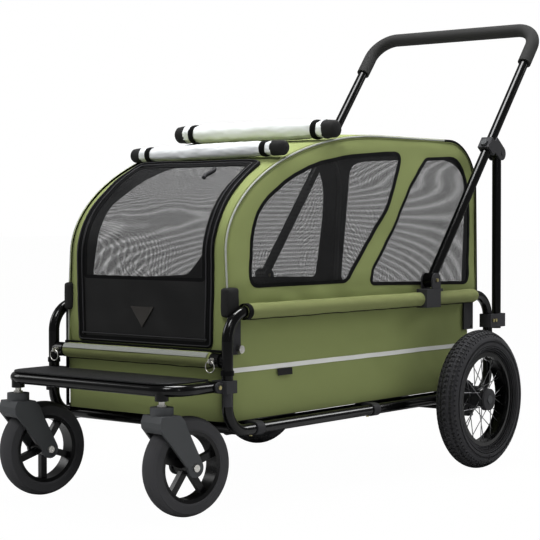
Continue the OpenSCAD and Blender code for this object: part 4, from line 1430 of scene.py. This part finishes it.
@dataclass
class RainRoll:
    """A rain cover rolled up across the hood, tied with elastic straps."""

    wardrobe: Wardrobe
    name: str
    centre: Point2
    radius: float
    half: float
    seed: float
    tilt: float = 0.0
    bulge: float = 0.22

    def about(self, x: float, angle: float, r: float) -> Vector:
        """A point round the roll's axis; the roll is fuller and sags a little at its middle."""
        full = 1 - (x / self.half) ** 2
        sag = 0.001 * full
        r *= 1 + self.bulge * max(0.0, full) ** 0.5
        return Vector((x, self.centre[0] - sag * 0.4 + r * math.cos(angle),
                       self.centre[1] + self.tilt * x / self.half - sag * 0.3 + r * math.sin(angle)))

    def build(self) -> list[bpy.types.Object]:
        """Builds the film, its bound ends and its straps."""
        turns = 2.6
        cap = self.half - 0.032

        def place(u: float, v: float) -> Vector:
            x = (u - 0.5) * 2 * cap
            angle = 2 * math.pi * turns * v
            spot = Vector((x * 0.6, math.cos(angle) * 0.05, math.sin(angle) * 0.05 + v * 0.2))
            pinch = dip(abs(x), self.half - 0.055, 0.012)
            full = 1.0 - 0.22 * (1 - v)
            folds = 0.0018 * wrinkle(spot, 0.03, self.seed) + 0.0009 * wrinkle(spot, 0.011, self.seed + 3)
            r = self.radius * full + folds - 0.003 * pinch - 0.0006
            return self.about(x, angle, r)

        film = sheet(self.name + "_film", 130, 110, place, (2 * cap, 2 * math.pi * self.radius * turns))
        self.wardrobe.dress(smooth(film, 80.0), "film")
        ends = [self.end_cap(side) for side in Side]
        caps = self.wardrobe.dress(join(self.name + "_ends", ends), "black_cloth")
        straps = self.wardrobe.dress(join(self.name + "_straps", [self.strap(side) for side in Side]), "webbing")
        for piece in (film, caps, straps):
            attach(piece, "frame")
        return [film, caps, straps]

    def end_cap(self, side: Side) -> bpy.types.Object:
        """A bound end: a soft plug of rolled black tape."""
        def place(u: float, v: float) -> Vector:
            angle = 2 * math.pi * v
            x = side.value * (self.half - 0.034 + 0.034 * u)
            r = self.radius * (0.93 - 0.05 * u) * math.sqrt(max(0.0, 1 - max(0.0, (u - 0.72) / 0.28) ** 2)) + 0.0002
            r *= 1 + 0.05 * wrinkle(Vector((x, math.cos(angle) * 0.02, math.sin(angle) * 0.02)), 0.012, self.seed)
            return self.about(x, angle, r)

        return outward(sheet(f"{self.name}_end_{side.tag}", 16, 28, place, (0.034, 0.1)), 3e-4)

    def strap(self, side: Side) -> bpy.types.Object:
        """An elastic strap round the roll."""
        def place(u: float, v: float) -> Vector:
            angle = 2 * math.pi * u
            x = side.value * (self.half - 0.055) + (v - 0.5) * 0.013
            return self.about(x, angle, self.radius - 0.0022 + 0.0008 * math.sin(math.pi * v))

        made = sheet(f"{self.name}_strap_{side.tag}", 40, 4, place, (0.1, 0.018))
        outward(made, 1e-4)
        return smooth(finish_with(made, "SOLIDIFY", thickness=0.0018, offset=0.0))


# ---------------------------------------------------------------- wheels


@dataclass
class RearTyre:
    """A rear tyre with blocks of tread between cross grooves."""

    wardrobe: Wardrobe
    side: Side
    ring: float = 0.127
    section: float = 0.0276
    around: int = 240
    across: int = 40

    def build(self) -> bpy.types.Object:
        """Builds the tyre."""
        deselect()
        bpy.ops.mesh.primitive_torus_add(major_radius=self.ring, minor_radius=self.section, major_segments=self.around,
                                         minor_segments=self.across, rotation=(0.0, math.pi / 2, 0.0))
        made = settle(named(f"tread_tyre_{self.side.tag}"))
        low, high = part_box(f"rear_tyre_{self.side.tag}")
        centre = (low + high) / 2
        pick(made)
        for face in made.data.polygons:
            c = face.center
            about = math.atan2(c.z, c.y) % (2 * math.pi)
            step = int(about / (2 * math.pi) * self.around)
            radial = math.hypot(c.y, c.z) - self.ring
            slope = math.degrees(math.atan2(abs(c.x), radial))
            row = int(slope // 27)
            cross = (step + row + (1 if c.x > 0 else 0)) % 3 == 0 and slope < 63
            rib = slope < 63 and slope % 27 > 18
            rim_line = 81 < slope < 90
            face.select = cross or rib or rim_line
        bpy.ops.object.mode_set(mode="EDIT")
        bpy.ops.mesh.select_mode(type="FACE")
        bpy.ops.mesh.extrude_region_shrink_fatten(TRANSFORM_OT_shrink_fatten={"value": -0.0024})
        bpy.ops.object.mode_set(mode="OBJECT")
        finish_with(made, "BEVEL", width=0.0003, segments=1, limit_method="ANGLE", angle_limit=math.radians(40))
        move_points(made, lambda p: p + centre)
        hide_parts(f"rear_tyre_{self.side.tag}")
        self.wardrobe.dress(smooth(made, 35.0), "tyre")
        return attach(made, f"rear_wheel_{self.side.tag}")


@dataclass
class Fittings:
    """Small sewn and moulded pieces: post straps, sleeve tapes and the foot board."""

    wardrobe: Wardrobe

    def build(self) -> list[bpy.types.Object]:
        """Builds the fittings."""
        pieces = []
        for side in Side:
            strap = self.wardrobe.dress(self.post_strap(side), "webbing")
            pieces += [strap, self.wardrobe.dress(self.rail_strap(side), "webbing")]
        pieces.append(self.sleeve_tape())
        for piece in pieces:
            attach(piece, "frame")
        board = self.wardrobe.dress(self.foot_board(), "board")
        pieces.append(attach(board, "footboard"))
        return pieces

    def hoop(self, name: str, centre: Vector, axis: str, radius: float, width: float) -> bpy.types.Object:
        """A strap once round a tube."""
        def place(u: float, v: float) -> Vector:
            angle = 2 * math.pi * u
            a, b, c = radius * math.cos(angle), radius * math.sin(angle), (v - 0.5) * width
            return centre + (Vector((a, b, c)) if axis == "Z" else Vector((a, c, b)))

        made = sheet(name, 36, 4, place, (2 * math.pi * radius, width))
        outward(made, 1e-4)
        return smooth(finish_with(made, "SOLIDIFY", thickness=0.0016, offset=1.0))

    def post_strap(self, side: Side) -> bpy.types.Object:
        """The retaining strap of a pull pin, round the front post."""
        return self.hoop(f"post_strap_{side.tag}", Vector((side.value * 0.238, -0.5055, 0.266)), "Z", 0.0112, 0.009)

    def rail_strap(self, side: Side) -> bpy.types.Object:
        """The strap that closes a rail sleeve's front end."""
        return self.hoop(f"rail_strap_{side.tag}", Vector((side.value * 0.238, -0.451, 0.3808)), "Y", 0.0144, 0.012)

    def sleeve_tape(self) -> bpy.types.Object:
        """The reflective tape along the crossbar's sleeve, in a copy of the tape painted darker as painted shade."""
        def place(u: float, v: float) -> Vector:
            angle = math.radians(118 + 42 * v)
            x = (u - 0.5) * 0.394
            r = 0.0163 + 0.0006 * wrinkle(Vector((x, v * 0.02, 0.0)), 0.03, 1.2)
            return Vector((x, -0.5055 + r * math.cos(angle), 0.289 + r * math.sin(angle)))

        made = sheet("sleeve_tape", 80, 8, place, (0.394, 0.012))
        return self.wardrobe.dress(smooth(finish_with(made, "SOLIDIFY", thickness=0.0008, offset=0.0)), "bar_tape")

    def foot_board(self) -> bpy.types.Object:
        """The foot plate, with corners that follow the tube and a rolled edge."""
        low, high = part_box("footboard_plate")
        outline = rounded([(high.x, low.y, 0.05), (high.x, high.y, 0.006), (low.x, high.y, 0.006),
                           (low.x, low.y, 0.05)], 6.0)
        board = prism("foot_board", outline, high.z - 0.004, high.z)
        finish_with(board, "BEVEL", width=0.0018, segments=3, limit_method="ANGLE", angle_limit=math.radians(50))
        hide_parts("footboard_plate")
        return smooth(board)


CAD_FINISHES: dict[str, str] = {
    "side_loops": "paint", "base_rails": "paint", "cross_tubes": "paint", "crossbar": "paint",
    "footboard_tube": "paint", "handle_tube": "paint", "brace_pole": "paint", "axle_plates": "paint",
    "brake_pedal": "paint", "rear_rim": "paint",
    "rail_saddles": "plastic", "post_brackets": "plastic", "brake_housings": "plastic", "handle_clamps": "plastic",
    "pole_clips": "plastic", "latch_collars": "plastic", "latch_button": "fork", "hub_button": "fork",
    "rear_hub": "plastic", "hood_legs": "plastic", "frame_bolts": "yellow_zinc", "caster_pins": "zinc",
    "rear_spokes": "spoke", "pull_pin": "zinc", "lock_pin": "zinc", "hood_knob": "zinc", "floor_board": "panel",
    "hood_arcs": "spring", "caster_fork": "fork", "caster_rim": "caster_rim",
    "caster_tyre": "caster", "handle_grip": "foam",
}


def dress_frame(wardrobe: Wardrobe) -> None:
    """Gives each CAD node that still shows its finish."""
    for name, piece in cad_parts.items():
        kind = name.removesuffix("_left").removesuffix("_right")
        if kind in CAD_FINISHES and not piece.hide_render:
            material = wardrobe.get(CAD_FINISHES[kind])
            piece.data.materials.clear()
            piece.data.materials.append(material)
            smooth(piece, 35.0)


# ---------------------------------------------------------------- studio


@dataclass
class Studio:
    """A pale floor, soft light from all round and the camera."""

    eye: tuple[float, float, float] = (2.2504, -2.8535, 0.567)
    aim: tuple[float, float, float] = (-0.62904, 0.77711, -0.02014)
    lens: float = 108.5
    shift: Point2 = (-0.0057, -0.0411)
    fill: float = 0.27

    def build(self) -> None:
        """Builds the floor, lights and camera."""
        self.camera()
        self.floor()
        self.world()
        self.light("key", (1.0, -2.6, 3.4), 1.3, 70.0)
        self.light("fill", (-2.8, -1.6, 1.8), 1.4, 26.0)
        self.light("rim", (1.8, 2.8, 2.2), 1.2, 40.0)
        self.light("top", (0.0, 0.2, 3.4), 1.6, 120.0)
        self.light("strip", (3.4, -1.6, 1.9), 0.1, 6.0, 2.4)

    def camera(self) -> None:
        """Places the camera."""
        data = bpy.data.cameras.new("camera")
        data.lens, data.sensor_width = self.lens, 36.0
        data.shift_x, data.shift_y = self.shift
        data.clip_end = 60.0
        made = bpy.data.objects.new("camera", data)
        made.location = self.eye
        made.rotation_euler = Vector(self.aim).to_track_quat("-Z", "Y").to_euler()
        bpy.context.scene.collection.objects.link(made)
        bpy.context.scene.camera = made

    def floor(self) -> None:
        """A wide pale floor."""
        deselect()
        bpy.ops.mesh.primitive_plane_add(size=60.0, location=(0.0, 0.0, -0.0005))
        made = named("studio_floor")
        material = bpy.data.materials.new("pale_floor")
        material.use_nodes = True
        wires = Wiring(material.node_tree)
        shader = wires.tree.nodes["Principled BSDF"]
        shader.inputs["Base Color"].default_value = (0.6, 0.6, 0.6, 1.0)
        shader.inputs["Roughness"].default_value = 0.9
        glow = wires.add("ShaderNodeEmission")
        seen = wires.add("ShaderNodeLightPath")
        blended = wires.add("ShaderNodeMixShader")
        wires.join(wires.math("MULTIPLY", seen.outputs["Is Camera Ray"], 0.99), blended.inputs[0])
        wires.join(shader.outputs[0], blended.inputs[1])
        wires.join(glow.outputs[0], blended.inputs[2])
        wires.join(blended.outputs[0], wires.tree.nodes["Material Output"].inputs["Surface"])
        made.data.materials.append(material)

    def world(self) -> None:
        """Even white surroundings."""
        world = bpy.data.worlds.new("surroundings")
        bpy.context.scene.world = world
        world.use_nodes = True
        wires = Wiring(world.node_tree)
        background = world.node_tree.nodes["Background"]
        background.inputs["Color"].default_value = (1.0, 1.0, 1.0, 1.0)
        seen = wires.add("ShaderNodeLightPath")
        strength = wires.math("MULTIPLY_ADD", seen.outputs["Is Camera Ray"], 1.0 - self.fill)
        wires.join(strength, background.inputs["Strength"])
        background.inputs["Strength"].links[0].from_node.inputs[2].default_value = self.fill
        view = bpy.context.scene.view_settings
        view.view_transform, view.gamma = "Standard", 0.82

    def light(self, name: str, place: tuple[float, float, float], size: float, power: float,
              tall: float | None = None) -> None:
        """Adds a soft area light that points at the object's middle; a tall one is a strip."""
        data = bpy.data.lights.new(name, "AREA")
        data.size, data.energy = size, power
        if tall:
            data.shape, data.size_y = "RECTANGLE", tall
        made = bpy.data.objects.new(name, data)
        made.location = place
        made.rotation_euler = (Vector((0.0, 0.0, 0.45)) - Vector(place)).to_track_quat("-Z", "Y").to_euler()
        bpy.context.scene.collection.objects.link(made)


def main() -> None:
    """Builds the studio, then every piece in turn, and reports each."""
    logging.basicConfig(level=logging.INFO, format="%(name)s: %(message)s")
    bpy.context.scene.tool_settings.mesh_select_mode = (False, False, True)
    Studio().build()
    wardrobe = Wardrobe()
    shape = HoodShape()
    pieces = Hood(shape, wardrobe).build()
    pieces += Door(shape, wardrobe).build()
    pieces += Tub(wardrobe).build()
    pieces += Mattress(wardrobe).build()
    up = Vector((0.0, 0.0, 1.0))
    sleeves = []
    for side in Side:
        x = side.value * 0.238
        sleeves += Sleeve(wardrobe, f"rail_sleeve_{side.tag}", Vector((x, -0.456, 0.381)), Vector((x, 0.377, 0.381)),
                          up).build(*(("rail_sleeves",) if side is Side.RIGHT else ()))
    bar = Vector((0.2025, -0.5055, 0.289))
    sleeves += Sleeve(wardrobe, "crossbar_pad", Vector((-bar.x, bar.y, bar.z)), bar, up).build("crossbar_sleeve")
    pieces += sleeves
    low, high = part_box("rain_rolls")
    front = RainRoll(wardrobe, "front_roll", (low.y + 0.0215, low.z + 0.0185), 0.016, 0.214, 2.5, 0.004, 0.12)
    rear = RainRoll(wardrobe, "rear_roll", (high.y - 0.019, high.z - 0.0165), 0.019, 0.226, 9.5)
    rolled = front.build() + rear.build()
    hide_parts("rain_rolls")
    pieces += rolled
    pieces += [RearTyre(wardrobe, side).build() for side in Side]
    pieces += Fittings(wardrobe).build()
    dress_frame(wardrobe)
    deselect()
    for piece in pieces:
        log.info("%s: %d faces", piece.name, len(piece.data.polygons))
    bpy.context.view_layer.update()


if __name__ == "__main__":
    main()
